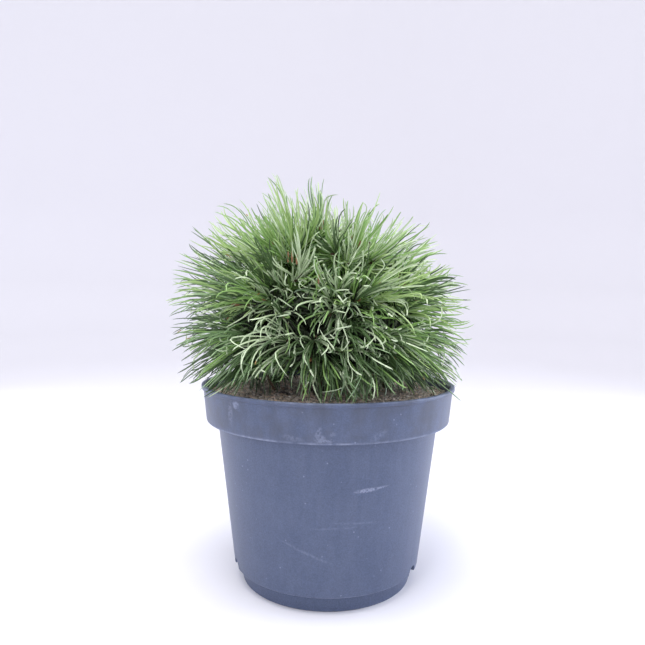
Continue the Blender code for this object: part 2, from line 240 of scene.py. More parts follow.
class PotSettings(PropertyGroup):
    plastic: a_colour("Plastic", "Colour of the moulded wall", "#48546F")
    # Dust, rubs and specks take this colour, and so do the painted highlight bands along the pot's edges
    dust_and_highlight_colour: a_colour("Dust", "Colour of dry dust and rubbed places", "#8B93AA")
    stain: a_colour("Stain", "Colour of dried soil on the collar", "#3F434F")
    # The amount also sets the painted highlight bands along the pot's edges
    dust_and_painted_light: a_number("Dust amount", "How much of the wall shows dust", 0.80, 0.0, 1.0, subtype="FACTOR")
    edge_round: a_length("Edge rounding", "Radius of the pot's moulded edges", 0.0010, 0.0003, 0.002)
    sides: a_number("Sides", "Steps round the pot", 160, 48, 256)


class SoilSettings(PropertyGroup):
    # The peat's colour is far paler than real peat, a painted light for the crown's shade over the fill
    peat: a_colour("Peat", "Colour of the fill's paler lumps", "#D0C5B9")
    crumbs: a_number("Crumbs", "Crumbs on each square metre of the fill", 50000, 1000, 200000)
    crumb_size: a_length("Crumb size", "Radius of the larger crumbs", 0.0026, 0.0005, 0.004)


class BarkSettings(PropertyGroup):
    bark: a_colour("Bark", "Colour of the trunk's plates", "#5B4636")
    plate_width: a_length("Plate width", "Width of one plate of bark", 0.0042, 0.001, 0.02)
    furrow: a_length("Furrow depth", "Depth of the furrows between plates", 0.0007, 0.0, 0.003)


class NeedleSettings(PropertyGroup):
    sprays: a_number("Sprays all round", "How many shoot tips a whole ball would have", 200, 50, 600)
    pairs: a_number("Longest pairs", "Pairs of a spray that reach out to the crown's outline", 10, 2, 20)
    width: a_length("Needle width", "Width across one needle", 0.0015, 0.0005, 0.004)
    spread: a_number(
        "Spray spread",
        "How far a spray's tips stand from its middle, seen from the crown's middle",
        math.radians(11.0),
        math.radians(2.0),
        math.radians(30.0),
        subtype="ANGLE",
    )
    seed: a_number("Seed", "Changes how the shoots and needles fall", 7, 0, 9999)


class StudioSettings(PropertyGroup):
    floor: a_colour("Floor", "Colour of the floor and the wall round it", "#E9E8EC")
    sky: a_colour("Room light", "Colour of the light from all round", "#F4F4FB")
    sky_strength: a_number("Room light strength", "Strength of the light from all round", 1.24, 0.0, 5.0)
    lamp: a_number("Lamp power", "Power that each lamp takes its share of", 12.5, 0.0, 200.0, unit="POWER")


def add_node(tree, kind, inputs=None, result=0, stops=(), **settings):
    """Adds a node and gives one of its results.

    Settings are the node's own, and stops are a colour ramp's places and colours.
    An input takes a value, or the result that it is linked to.
    """
    node = tree.nodes.new(kind)
    for name, value in settings.items():
        setattr(node, name, value)
    for key, value in (inputs or {}).items():
        if isinstance(value, bpy.types.NodeSocket):
            tree.links.new(value, node.inputs[key])
        else:
            node.inputs[key].default_value = value
    for i, (position, colour) in enumerate(stops):
        ramp = node.color_ramp.elements
        stop = ramp[0] if i == 0 else ramp[-1] if i == len(stops) - 1 else ramp.new(position)
        stop.position = position
        stop.color = colour
    return node.outputs[result] if len(node.outputs) else None


def material_with(name, look, *given):
    """A material with one shader. Look adds the nodes that it needs and gives the shader's inputs."""
    material = bpy.data.materials.new(name)
    material.use_nodes = True
    tree = material.node_tree
    tree.nodes.clear()
    add = partial(add_node, tree)
    shader = add("ShaderNodeBsdfPrincipled", look(add, *given))
    add("ShaderNodeOutputMaterial", {"Surface": shader})
    return material


def plain_material(name, colour, roughness, ior=1.45):
    """A finish with one colour and gloss all over."""
    return material_with(name, lambda _: {"Base Color": colour, "Roughness": roughness, "IOR": ior})


def mesh_from(name, points, triangles):
    """A smooth mesh from its corners and triangles."""
    mesh = bpy.data.meshes.new(name)
    points = np.ascontiguousarray(points, dtype=np.float32)
    triangles = np.ascontiguousarray(triangles, dtype=np.int32)
    mesh.vertices.add(len(points))
    mesh.vertices.foreach_set("co", points.ravel())
    mesh.loops.add(triangles.size)
    mesh.loops.foreach_set("vertex_index", triangles.ravel())
    mesh.polygons.add(len(triangles))
    mesh.polygons.foreach_set("loop_start", np.arange(0, triangles.size, 3, dtype=np.int32))
    mesh.polygons.foreach_set("use_smooth", np.full(len(triangles), True))
    mesh.update(calc_edges=True)
    mesh.validate()
    return mesh


def in_scene(name, data):
    """A new object in the scene with this mesh, light or camera."""
    obj = bpy.data.objects.new(name, data)
    bpy.context.scene.collection.objects.link(obj)
    return obj


def place(name, mesh, material, nodes=()):
    """Puts a finished piece in the scene, on the plant's one body, in place of the nodes."""
    mesh.materials.clear()
    mesh.materials.append(material)
    obj = in_scene(name, mesh)
    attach(obj, "root")
    if nodes:
        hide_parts(*nodes)


def nodes_named(*starts):
    """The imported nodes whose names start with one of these."""
    found = [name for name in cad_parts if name.startswith(starts)]
    if not found:
        raise RuntimeError(f"the packed model has no node that starts with {' or '.join(starts)}")
    return found


def finished_mesh(holder, name):
    """The mesh that an object's modifiers make. The object itself is taken away."""
    bpy.context.view_layer.update()
    graph = bpy.context.evaluated_depsgraph_get()
    mesh = bpy.data.meshes.new_from_object(holder.evaluated_get(graph))
    mesh.name = name
    holder.modifiers.clear()
    bpy.data.objects.remove(holder, do_unlink=True)
    return mesh


def direction_of(azimuth, elevation):
    """The unit vector at these angles in degrees, azimuth from +X towards +Y."""
    turn = math.radians(azimuth)
    rise = math.radians(elevation)
    return Vector((math.cos(rise) * math.cos(turn), math.cos(rise) * math.sin(turn), math.sin(rise)))


def guide_for(axis):
    """A world axis that is well away from this one."""
    return UP if abs(axis.z) < 0.75 else Vector((1.0, 0.0, 0.0))


def frame_round(axis, guide):
    """Two unit vectors that are square to the axis and to each other, turned by the guide."""
    first = axis.cross(guide).normalized()
    return first, axis.cross(first).normalized()


def bezier(start, control, end, t):
    return start * (1 - t) ** 2 + control * (2 * t * (1 - t)) + end * t**2


def bezier_tangent(start, control, end, t):
    return ((control - start) * (1 - t) + (end - control) * t).normalized()


def ring(radius, height, sides):
    """Corners of a level circle round the plant's upright axis."""
    turns = [2 * math.pi * side / sides for side in range(sides)]
    return [(radius * math.cos(turn), radius * math.sin(turn), height) for turn in turns]


def between(inner, outer, side, sides):
    """The two triangles at one side of the band between two rings, each given by its first corner."""
    after = (side + 1) % sides
    return [(inner + side, outer + side, outer + after), (inner + side, outer + after, inner + after)]


def disc_triangles(sides, rings):
    """Triangles of a disc: its middle corner, then rings of corners from the middle outwards."""
    faces = []
    for side in range(sides):
        faces.append((0, 1 + side, 1 + (side + 1) % sides))
        for first in range(1, 1 + (rings - 1) * sides, sides):
            faces += between(first, first + sides, side, sides)
    return faces


def tube_triangles(rings, sides):
    """Triangles of a closed tube: rings of corners one after another, then the two end points."""
    faces = []
    for first in range(0, (rings - 1) * sides, sides):
        for side in range(sides):
            a = first + side
            b = first + (side + 1) % sides
            faces += [(a, b, b + sides), (a, b + sides, a + sides)]
    end = rings * sides
    last = end - sides
    for side in range(sides):
        after = (side + 1) % sides
        faces += [(after, side, end), (last + side, last + after, end + 1)]
    return faces


def tube(centres, axes, radius_at, sides):
    """A closed limb through the centres, whose surface lies at radius_at from them."""
    guide = guide_for((centres[-1] - centres[0]).normalized())
    points = []
    steps = len(centres)
    for step, (centre, axis) in enumerate(zip(centres, axes)):
        second, first = frame_round(axis, guide)
        for side in range(sides):
            turn = 2 * math.pi * side / sides
            outward = first * math.cos(turn) - second * math.sin(turn)
            points.append(centre + outward * radius_at(step / (steps - 1), turn, centre, outward))
    return [*points, centres[0], centres[-1]], tube_triangles(steps, sides)


def tree_with_inputs(name, inputs):
    """A Geometry Nodes tree with named inputs and one result, its way to add nodes, and its inputs."""
    tree = bpy.data.node_groups.new(name, "GeometryNodeTree")
    for label, kind, value in inputs:
        socket = tree.interface.new_socket(label, in_out="INPUT", socket_type=f"NodeSocket{kind}")
        if value is not None:
            socket.default_value = value
    tree.interface.new_socket("Result", in_out="OUTPUT", socket_type="NodeSocketGeometry")
    add = partial(add_node, tree)
    return tree, add, add("NodeGroupInput").node.outputs


def grown(name, mesh, tree, values):
    """The mesh that a Geometry Nodes tree makes on another, with its inputs set by name."""
    holder = in_scene(name, mesh)
    modifier = holder.modifiers.new(name, "NODES")
    modifier.node_group = tree
    for item in tree.interface.items_tree:
        if item.in_out == "INPUT" and item.name in values:
            modifier[item.identifier] = values[item.name]
    return finished_mesh(holder, name)


def path_mesh(name, lines, tapers):
    """Each line as corners joined by edges, with its thickness at each as the attribute taper."""
    lines = np.asarray(lines, dtype=np.float32)
    points = lines.reshape(-1, 3)
    starts = np.arange(len(points), dtype=np.int32).reshape(-1, lines.shape[1])[:, :-1].ravel()
    mesh = bpy.data.meshes.new(name)
    mesh.vertices.add(len(points))
    mesh.vertices.foreach_set("co", points.ravel())
    mesh.edges.add(len(starts))
    mesh.edges.foreach_set("vertices", np.stack([starts, starts + 1], axis=1).ravel())
    taper = mesh.attributes.new("taper", "FLOAT", "POINT")
    taper.data.foreach_set("value", np.asarray(tapers, dtype=np.float32).ravel())
    mesh.update()
    return mesh


def sweep_tree():
    """Sweeps a section of a few corners along every path, each turned at random round its line."""
    inputs = (
        ("Paths", "Geometry", None),
        ("Radius", "Float", 0.001),
        ("Corners", "Int", 3),
        ("Thickness", "Float", 1.0),
        ("Knobs", "Float", 0.0),
        ("Smooth", "Bool", False),
        ("Seed", "Int", 1),
        ("Material", "Material", None),
    )
    tree, add, given = tree_with_inputs("sections along their paths", inputs)
    lines = add("GeometryNodeMeshToCurve", {"Mesh": given["Paths"]})
    inputs = {"Min": 0.0, "Max": 2 * math.pi, "Seed": given["Seed"]}
    turn = add("FunctionNodeRandomValue", inputs, 1, data_type="FLOAT")
    turn = add("GeometryNodeFieldOnDomain", {"Value": turn}, domain="CURVE")
    lines = add("GeometryNodeSetCurveTilt", {"Curve": lines, "Tilt": turn})
    taper = add("GeometryNodeInputNamedAttribute", {"Name": "taper"}, "Attribute")
    radius = add("ShaderNodeMath", {0: taper, 1: given["Radius"]}, operation="MULTIPLY")
    section = add("GeometryNodeCurvePrimitiveCircle", {"Resolution": given["Corners"], "Radius": 1.0})
    flat = add("ShaderNodeCombineXYZ", {0: given["Thickness"], 1: 1.0, 2: 1.0})
    section = add("GeometryNodeTransform", {"Geometry": section, "Scale": flat})
    inputs = {"Curve": lines, "Profile Curve": section, "Scale": radius, "Fill Caps": True}
    swept = add("GeometryNodeCurveToMesh", inputs)
    # Knobs are the scars of shed needles and the edges of scales, about 2.5 mm apart
    knob = add("ShaderNodeTexNoise", {"Scale": 1 / KNOB_WIDTH, "Detail": 0.0}, "Fac")
    inputs = {"Value": knob, "From Min": 0.25, "From Max": 0.75, "To Min": -1.0, "To Max": 1.0}
    knob = add("ShaderNodeMapRange", inputs)
    for share in (given["Knobs"], radius):
        knob = add("ShaderNodeMath", {0: knob, 1: share}, operation="MULTIPLY")
    outwards = add("GeometryNodeInputNormal")
    shift = add("ShaderNodeVectorMath", {0: outwards, "Scale": knob}, operation="SCALE")
    swept = add("GeometryNodeSetPosition", {"Geometry": swept, "Offset": shift})
    real = add("GeometryNodeRealizeInstances", {"Geometry": swept})
    real = add("GeometryNodeRemoveAttribute", {"Geometry": real, "Name": "taper"})
    shaded = add("GeometryNodeSetShadeSmooth", {"Geometry": real, "Shade Smooth": given["Smooth"]})
    dressed = add("GeometryNodeSetMaterial", {"Geometry": shaded, "Material": given["Material"]})
    add("NodeGroupOutput", {0: dressed})
    return tree


# Pot


def rounded(outline, steps=3):
    """The outline with each corner that has a rounding turned into a short curve."""
    points = []
    for i, (radius, height, rounding) in enumerate(outline):
        here = Vector((radius, height))
        if rounding == 0.0 or i in (0, len(outline) - 1):
            points.append(here)
            continue
        before = Vector(outline[i - 1][:2]) - here
        after = Vector(outline[i + 1][:2]) - here
        start = here + before.normalized() * min(rounding, before.length * 0.45)
        end = here + after.normalized() * min(rounding, after.length * 0.45)
        points += [bezier(start, here, end, k / steps) for k in range(steps + 1)]
    return points


def wall_radius(height):
    """Outer radius of the pot's wall at a height above the ledge."""
    if height > COLLAR_FOOT_Z:
        along = (height - COLLAR_FOOT_Z) / (POT_HEIGHT - COLLAR_FOOT_Z)
        return COLLAR_FOOT_RADIUS + (COLLAR_TOP_RADIUS - COLLAR_FOOT_RADIUS) * along
    along = (height - LEDGE_Z) / (COLLAR_FOOT_Z - LEDGE_Z)
    return BODY_FOOT_RADIUS + (BODY_TOP_RADIUS - BODY_FOOT_RADIUS) * along


def pot_outline(edge):
    """The pot's wall as radius, height and rounding, from the underside's middle to the inner floor's."""
    lip_foot = POT_HEIGHT - LIP_HEIGHT
    return [
        (0.0, 0.0, 0.0),
        (FOOT_RADIUS, 0.0, edge),
        (FOOT_TOP_RADIUS, LEDGE_Z, edge * 0.4),
        (BODY_FOOT_RADIUS, LEDGE_Z, edge * 0.8),
        (BODY_TOP_RADIUS, COLLAR_FOOT_Z, edge * 0.8),
        (COLLAR_FOOT_RADIUS, COLLAR_FOOT_Z, edge * 1.9),
        (COLLAR_TOP_RADIUS, lip_foot - edge * 0.6, edge * 0.6),
        (LIP_RADIUS, lip_foot, edge * 0.8),
        (LIP_RADIUS, POT_HEIGHT, edge),
        (wall_radius(POT_HEIGHT) - WALL, POT_HEIGHT, edge * 0.5),
        (wall_radius(COLLAR_FOOT_Z + WALL) - WALL, COLLAR_FOOT_Z + WALL, edge),
        (BODY_TOP_RADIUS - WALL, COLLAR_FOOT_Z + WALL, edge),
        (BODY_FOOT_RADIUS - WALL, LEDGE_Z + WALL, edge),
        (FOOT_TOP_RADIUS - WALL, LEDGE_Z + WALL, 0.0),
        (FOOT_RADIUS - WALL, WALL, edge),
        (0.0, WALL, 0.0),
    ]


def turned_mesh(name, outline, sides):
    """The outline spun about Z into a closed mesh that faces outwards."""
    shape = bmesh.new()
    points = [shape.verts.new((point[0], 0.0, point[1])) for point in outline]
    edges = [shape.edges.new(pair) for pair in zip(points, points[1:])]
    spin = {"cent": (0, 0, 0), "axis": (0, 0, 1), "angle": 2 * math.pi, "steps": sides, "use_merge": True}
    bmesh.ops.spin(shape, geom=points + edges, **spin)
    bmesh.ops.remove_doubles(shape, verts=shape.verts, dist=1e-6)
    bmesh.ops.recalc_face_normals(shape, faces=shape.faces)
    mesh = bpy.data.meshes.new(name)
    shape.to_mesh(mesh)
    shape.free()
    return mesh


def drain_cutter(azimuth):
    """A bar along the radius that cuts an arch into the wall's lower edge and its ledge."""
    outward = direction_of(azimuth, 0.0)
    height = Vector((0.0, 0.0, LEDGE_Z + CLEAR))
    ends = [outward * (FOOT_TOP_RADIUS + WALL / 2) + height, outward * (BODY_FOOT_RADIUS + WALL * 3) + height]
    bar = tube(ends, [outward, outward], lambda *_: DRAIN_RADIUS, DRAIN_SIDES)
    return in_scene("drain cutter", mesh_from("drain cutter", *bar))


# Places on the wall that are rubbed pale: azimuth, height, length and width in metres, tilt, strength
RUBS = (
    (-94.2, 0.1700, 0.0160, 0.0052, 66.0, 0.42),
    (-93.0, 0.1656, 0.0110, 0.0085, 30.0, 0.45),
    (-91.2, 0.1640, 0.0170, 0.0048, 8.0, 0.50),
    (-88.6, 0.1700, 0.0070, 0.0060, 20.0, 0.22),
    (-71.0, 0.1162, 0.0290, 0.0046, 4.0, 0.85),
    (-64.5, 0.1172, 0.0200, 0.0024, 6.0, 0.70),
    (-130.2, 0.1884, 0.0095, 0.0090, 0.0, 0.75),
    (-134.0, 0.1800, 0.0260, 0.0080, 84.0, 0.34),
    (-99.0, 0.0575, 0.1150, 0.0032, -22.0, 0.21),
    (-75.0, 0.0865, 0.0800, 0.0024, -3.0, 0.17),
    (-88.0, 0.0825, 0.0900, 0.0022, 2.0, 0.14),
    (-104.0, 0.1655, 0.0220, 0.0060, -10.0, 0.25),
    (-70.0, 0.1680, 0.0200, 0.0070, 30.0, 0.20),
    (62.0, 0.1240, 0.0260, 0.0030, 14.0, 0.55),
    (118.0, 0.1750, 0.0150, 0.0050, -30.0, 0.40),
    (171.0, 0.0720, 0.0300, 0.0024, 35.0, 0.35),
    (8.0, 0.1380, 0.0220, 0.0028, -12.0, 0.45),
)
# How far into the wall such a place goes
RUB_DEPTH = 0.004
# How pale dust and rubbing leave the wall at each height. The thin bands at the ledge, the collar's foot and
# the lip are partly rubbed edges and partly painted highlight, and the foot below the ledge is kept barer, so
# darker, as painted shade under the ledge
PALE_BY_HEIGHT = (
    (0.0, 0.20),
    (0.0030, 0.03),
    (LEDGE_Z - 0.0010, 0.02),
    (LEDGE_Z - 0.0002, 0.50),
    (LEDGE_Z + 0.0010, 0.05),
    (COLLAR_FOOT_Z - 0.0010, 0.05),
    (COLLAR_FOOT_Z + 0.0006, 0.70),
    (COLLAR_FOOT_Z + 0.0026, 0.07),
    (POT_HEIGHT - LIP_HEIGHT - 0.0010, 0.05),
    (POT_HEIGHT - 0.0012, 0.06),
    (POT_HEIGHT, 0.28),
)
# Sizes of the wall's patterns
DUST_PATCH = 0.029412
DUST_STREAK = 0.00625
SPECKS_APART = 0.011111
RUB_GRAIN = 0.002381
STAIN_CLOUD = 0.020
MOULD_GRAIN = 0.0012048


def rubbed_places(add, place_of):
    """How strongly each point of the wall is rubbed pale by the marks above."""
    total = 0.0
    for azimuth, height, length, width, tilt, strength in RUBS:
        outward = direction_of(azimuth, 0.0) * wall_radius(height)
        inputs = {
            "Vector": place_of,
            "Location": (outward.x, outward.y, height),
            "Rotation": (0.0, math.radians(-tilt), math.radians(azimuth + 90)),
            "Scale": (length / 2, RUB_DEPTH, width / 2),
        }
        centred = add("ShaderNodeMapping", inputs, vector_type="TEXTURE")
        fall = add("ShaderNodeTexGradient", {"Vector": centred}, "Fac", gradient_type="SPHERICAL")
        mark = add("ShaderNodeMapRange", {"Value": fall, "From Max": 0.5, "To Max": strength})
        total = add("ShaderNodeMath", {0: total, 1: mark}, operation="MAXIMUM")
    return total


def paleness(add, place_of, height_of, amount):
    """How far dust, rubbed edges with painted highlight on them, marks and specks hide the plastic at each
    point of the wall; the foot is left darker as painted shade.
    """
    # Dust lies in patches about 30 mm across and in streaks 6 mm wide where water ran down
    patch = add("ShaderNodeTexNoise", {"Vector": place_of, "Scale": 1 / DUST_PATCH, "Detail": 5.0}, "Fac")
    stretched = add("ShaderNodeMapping", {"Vector": place_of, "Scale": (1.0, 1.0, 0.12)})
    inputs = {"Vector": stretched, "Scale": 1 / DUST_STREAK, "Detail": 3.0}
    streak = add("ShaderNodeTexNoise", inputs, "Fac")
    mottle = add("ShaderNodeMath", {0: patch, 1: streak}, operation="MULTIPLY")
    inputs = {"Value": mottle, "From Min": 0.12, "From Max": 0.36, "To Min": 0.1, "To Max": 1.9}
    mottle = add("ShaderNodeMapRange", inputs)
    share = add("ShaderNodeMapRange", {"Value": height_of, "From Max": POT_HEIGHT})
    # The ramp by height also paints highlight bands along the edges and leaves the foot darker, as painted
    # shade under the ledge
    stops = [(height / POT_HEIGHT, (pale, pale, pale, 1.0)) for height, pale in PALE_BY_HEIGHT]
    dust_and_painted_light = add("ShaderNodeValToRGB", {"Fac": share}, stops=stops)
    for factor in (amount, mottle):
        dust_and_painted_light = add("ShaderNodeMath", {0: dust_and_painted_light, 1: factor}, operation="MULTIPLY")

    # Specks of dried splash, about 1 mm across and 11 mm apart
    inputs = {"Vector": place_of, "Scale": 1 / SPECKS_APART, "Randomness": 1.0}
    speck = add("ShaderNodeTexVoronoi", inputs, "Distance")
    speck = add("ShaderNodeMapRange", {"Value": speck, "From Min": 0.085, "From Max": 0.045, "To Max": 0.60})
    marks = add("ShaderNodeMath", {0: rubbed_places(add, place_of), 1: speck}, operation="MAXIMUM")
    # Rubbing is broken up by the mould's grain, about 2 mm across
    inputs = {"Vector": place_of, "Scale": 1 / RUB_GRAIN, "Detail": 3.0}
    breakup = add("ShaderNodeTexNoise", inputs, "Fac")
    broken = add("ShaderNodeMapRange", {"Value": breakup, "From Min": 0.36, "From Max": 0.56})
    marks = add("ShaderNodeMath", {0: marks, 1: broken}, operation="MULTIPLY")
    return add("ShaderNodeMath", {0: dust_and_painted_light, 1: marks}, operation="ADD", use_clamp=True)


def stain_of(add, place_of, height_of):
    """How strongly dried soil stains the wall: in clouds about 20 mm across, on the collar alone."""
    inputs = {"Value": height_of, "From Min": COLLAR_FOOT_Z, "From Max": COLLAR_FOOT_Z + 0.004}
    collar = add("ShaderNodeMapRange", inputs)
    inputs = {"Vector": place_of, "Scale": 1 / STAIN_CLOUD, "Detail": 6.0, "Roughness": 0.65}
    cloud = add("ShaderNodeTexNoise", inputs, "Fac")
    cloud = add("ShaderNodeMapRange", {"Value": cloud, "From Min": 0.42, "From Max": 0.66, "To Max": 0.6})
    return add("ShaderNodeMath", {0: cloud, 1: collar}, operation="MULTIPLY")


def moulded_polypropylene(add, settings):
    """Injection moulded polypropylene: satin, so that the sides catch a soft light, and matt under dust."""
    place_of = add("ShaderNodeTexCoord", result="Object")
    height_of = add("ShaderNodeSeparateXYZ", {0: place_of}, "Z")
    pale = paleness(add, place_of, height_of, settings.dust_and_painted_light)
    # Mould grain is about 0.3 mm, drawn at 1.2 mm so that it shows
    grain = add("ShaderNodeTexNoise", {"Vector": place_of, "Scale": 1 / MOULD_GRAIN, "Detail": 2.0}, "Fac")
    inputs = {"Value": grain, "From Min": 0.3, "From Max": 0.7, "To Min": 0.80, "To Max": 1.20}
    shade = add("ShaderNodeMapRange", inputs)
    inputs = {"Factor": 1.0, "A": settings.plastic, "B": shade}
    toned = add("ShaderNodeMix", inputs, "Result", data_type="RGBA", blend_type="MULTIPLY")
    for share, over in ((stain_of(add, place_of, height_of), settings.stain), (pale, settings.dust_and_highlight_colour)):
        toned = add("ShaderNodeMix", {"Factor": share, "A": toned, "B": over}, "Result", data_type="RGBA")
    rough = add("ShaderNodeMapRange", {"Value": pale, "To Min": 0.40, "To Max": 0.75})
    bump = add("ShaderNodeBump", {"Height": grain, "Strength": 0.12, "Distance": 0.0004})
    return {"Base Color": toned, "Roughness": rough, "IOR": 1.49, "Normal": bump}


class PINE_OT_pot(Operator):
    """Builds the nursery pot with its rounded edges and drain arches"""

    bl_idname = "pine.pot"
    bl_label = "Build pot"

    def execute(self, context):
        settings = context.scene.pine_pot
        outline = rounded(pot_outline(settings.edge_round))
        blank = in_scene("pot blank", turned_mesh("pot_shell", outline, settings.sides))
        cutters = [drain_cutter(azimuth) for azimuth in DRAIN_AZIMUTHS]
        for cutter in cutters:
            cut = blank.modifiers.new("drain arch", "BOOLEAN")
            cut.operation = "DIFFERENCE"
            cut.object = cutter
        mesh = finished_mesh(blank, "pot_shell")
        for cutter in cutters:
            bpy.data.objects.remove(cutter, do_unlink=True)
        mesh.shade_smooth()
        mesh.set_sharp_from_angle(angle=SHARP_FROM)
        material = material_with("moulded polypropylene", moulded_polypropylene, settings)
        place("pot_shell", mesh, material, ["pot"])
        return {"FINISHED"}


# Soil


def soil_height(x, y):
    """Height of the fill's top: level under the trunk, crumbly elsewhere."""
    lump = abs(noise.noise(Vector((x, y, SOIL_LEVEL)) / SOIL_GRAIN))
    fine = noise.fractal(Vector((x, y, 0.0)) / FINE_GRAIN, 1.0, 2.0, 4)
    eased = min(max((math.hypot(x, y) - LEVEL_OUT_TO) / EASED_OVER, 0.0), 1.0)
    return SOIL_LEVEL - eased * (SOIL_BUMP * lump + FINE_BUMP * max(fine, -0.4) + CLEAR)


def soil_points(sides, rings):
    """Corners of the fill's top from its middle outwards, ring by ring."""
    edge = wall_radius(SOIL_LEVEL) - WALL - CLEAR
    points = [(0.0, 0.0, SOIL_LEVEL)]
    for step in range(1, rings + 1):
        points += [(x, y, soil_height(x, y)) for x, y, _ in ring(edge * step / rings, 0.0, sides)]
    return points


def soil_mesh(sides, rings):
    """The whole fill as one closed body: its crumbly top and the wall that lies against the pot."""
    points = soil_points(sides, rings)
    faces = disc_triangles(sides, rings)
    inset = WALL + CLEAR
    wall = (
        (wall_radius(COLLAR_FOOT_Z + WALL) - inset, COLLAR_FOOT_Z + inset),
        (BODY_TOP_RADIUS - inset, COLLAR_FOOT_Z + inset),
        (BODY_FOOT_RADIUS - inset, LEDGE_Z + inset),
        (FOOT_TOP_RADIUS - inset, LEDGE_Z + inset),
        (FOOT_RADIUS - inset, inset),
    )
    upper = 1 + (rings - 1) * sides
    for radius, height in wall:
        lower = len(points)
        points += ring(radius, height, sides)
        for side in range(sides):
            faces += between(upper, lower, side, sides)
        upper = lower
    faces += [(upper + (side + 1) % sides, upper + side, len(points)) for side in range(sides)]
    points.append((0.0, 0.0, inset))
    return mesh_from("soil_bed", points, faces)


def milled_peat(add, settings):
    """Milled peat and composted bark: matt, with browner and greyer lumps. Real peat is dark; these colours
    are far paler, a painted light that makes up for the crown's shade over the fill.
    """
    place_of = add("ShaderNodeTexCoord", result="Object")
    lump = add("ShaderNodeTexNoise", {"Vector": place_of, "Scale": 1 / PEAT_LUMP, "Detail": 6.0}, "Fac")
    stops = ((0.36, linear("#6D6258")), (0.66, settings.peat))
    colour = add("ShaderNodeValToRGB", {"Fac": lump}, stops=stops)
    bump = add("ShaderNodeBump", {"Height": lump, "Strength": 0.6, "Distance": 0.001})
    return {"Base Color": colour, "Roughness": 0.95, "Normal": bump}


def crumb_tree():
    """Scatters uneven lumps over a surface: how many, how large and how flat they are its inputs."""
    inputs = (
        ("Surface", "Geometry", None),
        ("Density", "Float", 10000.0),
        ("Smallest", "Float", 0.0004),
        ("Largest", "Float", 0.0015),
        ("Flatness", "Float", 0.6),
        ("Seed", "Int", 1),
        ("Material", "Material", None),
    )
    tree, add, given = tree_with_inputs("crumbs on the fill", inputs)
    seed = given["Seed"]
    inputs = {"Mesh": given["Surface"], "Density": given["Density"], "Seed": seed}
    scatter = add("GeometryNodeDistributePointsOnFaces", inputs)
    lump = add("GeometryNodeMeshIcoSphere", {"Radius": 1.0, "Subdivisions": 1})
    inputs = {"Min": given["Smallest"], "Max": given["Largest"], "Seed": seed}
    size = add("FunctionNodeRandomValue", inputs, 1, data_type="FLOAT")
    inputs = {"Min": (0.7, 0.7, 0.6), "Max": (1.5, 1.1, 1.0), "Seed": seed}
    across = add("FunctionNodeRandomValue", inputs, data_type="FLOAT_VECTOR")
    flat = add("ShaderNodeCombineXYZ", {0: 1.0, 1: 1.0, 2: given["Flatness"]})
    shape = add("ShaderNodeVectorMath", {0: across, 1: flat}, operation="MULTIPLY")
    scale = add("ShaderNodeVectorMath", {0: shape, "Scale": size}, operation="SCALE")
    inputs = {"Min": (-0.5, -0.5, 0.0), "Max": (0.5, 0.5, 6.283), "Seed": seed}
    turn = add("FunctionNodeRandomValue", inputs, data_type="FLOAT_VECTOR")
    inputs = {"Points": scatter, "Instance": lump, "Rotation": turn, "Scale": scale}
    lumps = add("GeometryNodeInstanceOnPoints", inputs)
    real = add("GeometryNodeRealizeInstances", {"Geometry": lumps})
    uneven = add("ShaderNodeTexNoise", {"Scale": 1 / CRUMB_GRAIN, "Detail": 1.0}, "Color")
    middle = add("ShaderNodeVectorMath", {0: uneven, 1: (0.5, 0.5, 0.5)}, operation="SUBTRACT")
    shift = add("ShaderNodeVectorMath", {0: middle, "Scale": given["Largest"]}, operation="SCALE")
    moved = add("GeometryNodeSetPosition", {"Geometry": real, "Offset": shift})
    dressed = add("GeometryNodeSetMaterial", {"Geometry": moved, "Material": given["Material"]})
    add("NodeGroupOutput", {0: dressed})
    return tree


# Crumbs lie on a plainer top, between the trunk and the pot's wall
CRUMB_SIDES = 72
CRUMB_RINGS = 32
BARE_ROUND_TRUNK = 0.011
CRUMBS_REACH = 0.1205
# Each kind: name, colour, share of the density, smallest and largest share of the size, flatness. The colours
# are paler than real peat and bark, a painted light for the crown's shade over them
CRUMBS = (
    ("peat", "#B0A397", 1.00, 0.16, 1.00, 0.7),
    ("bark", "#D6BFAB", 0.44, 0.30, 1.20, 0.5),
    ("fibre", "#D2C5B7", 0.60, 0.18, 1.00, 0.5),
    ("chips", "#F2EAE0", 0.38, 0.18, 0.80, 0.5),
)


class PINE_OT_soil(Operator):
    """Builds the fill and scatters crumbs of peat and bark over it"""

    bl_idname = "pine.soil"
    bl_label = "Build soil"

    def execute(self, context):
        settings = context.scene.pine_soil
        peat = material_with("milled peat", milled_peat, settings)
        place("soil_bed", soil_mesh(SOIL_SIDES, SOIL_RINGS), peat, ["soil"])
        points = soil_points(CRUMB_SIDES, CRUMB_RINGS)
        open_ones = {
            i for i, (x, y, _) in enumerate(points) if BARE_ROUND_TRUNK < math.hypot(x, y) < CRUMBS_REACH
        }
        faces = [face for face in disc_triangles(CRUMB_SIDES, CRUMB_RINGS) if open_ones.issuperset(face)]
        tree = crumb_tree()
        for number, (name, colour, share, least, most, flatness) in enumerate(CRUMBS, 1):
            # Crumbs are as matt as the fill, so that only their colour and shape tell them from it
            material = plain_material(f"loose {name}", linear(colour), 0.9)
            values = {
                "Material": material,
                "Density": settings.crumbs * share,
                "Smallest": settings.crumb_size * least,
                "Largest": settings.crumb_size * most,
                "Flatness": flatness,
                "Seed": number,
            }
            mesh = grown(f"crumbs_{name}", mesh_from("top", points, faces), tree, values)
            place(f"crumbs_{name}", mesh, material)
        return {"FINISHED"}


# Trunk and boughs


def trunk_centre(t):
    return TRUNK_FOOT.lerp(TRUNK_TIP, t) + TRUNK_BOW * math.sin(math.pi * t)


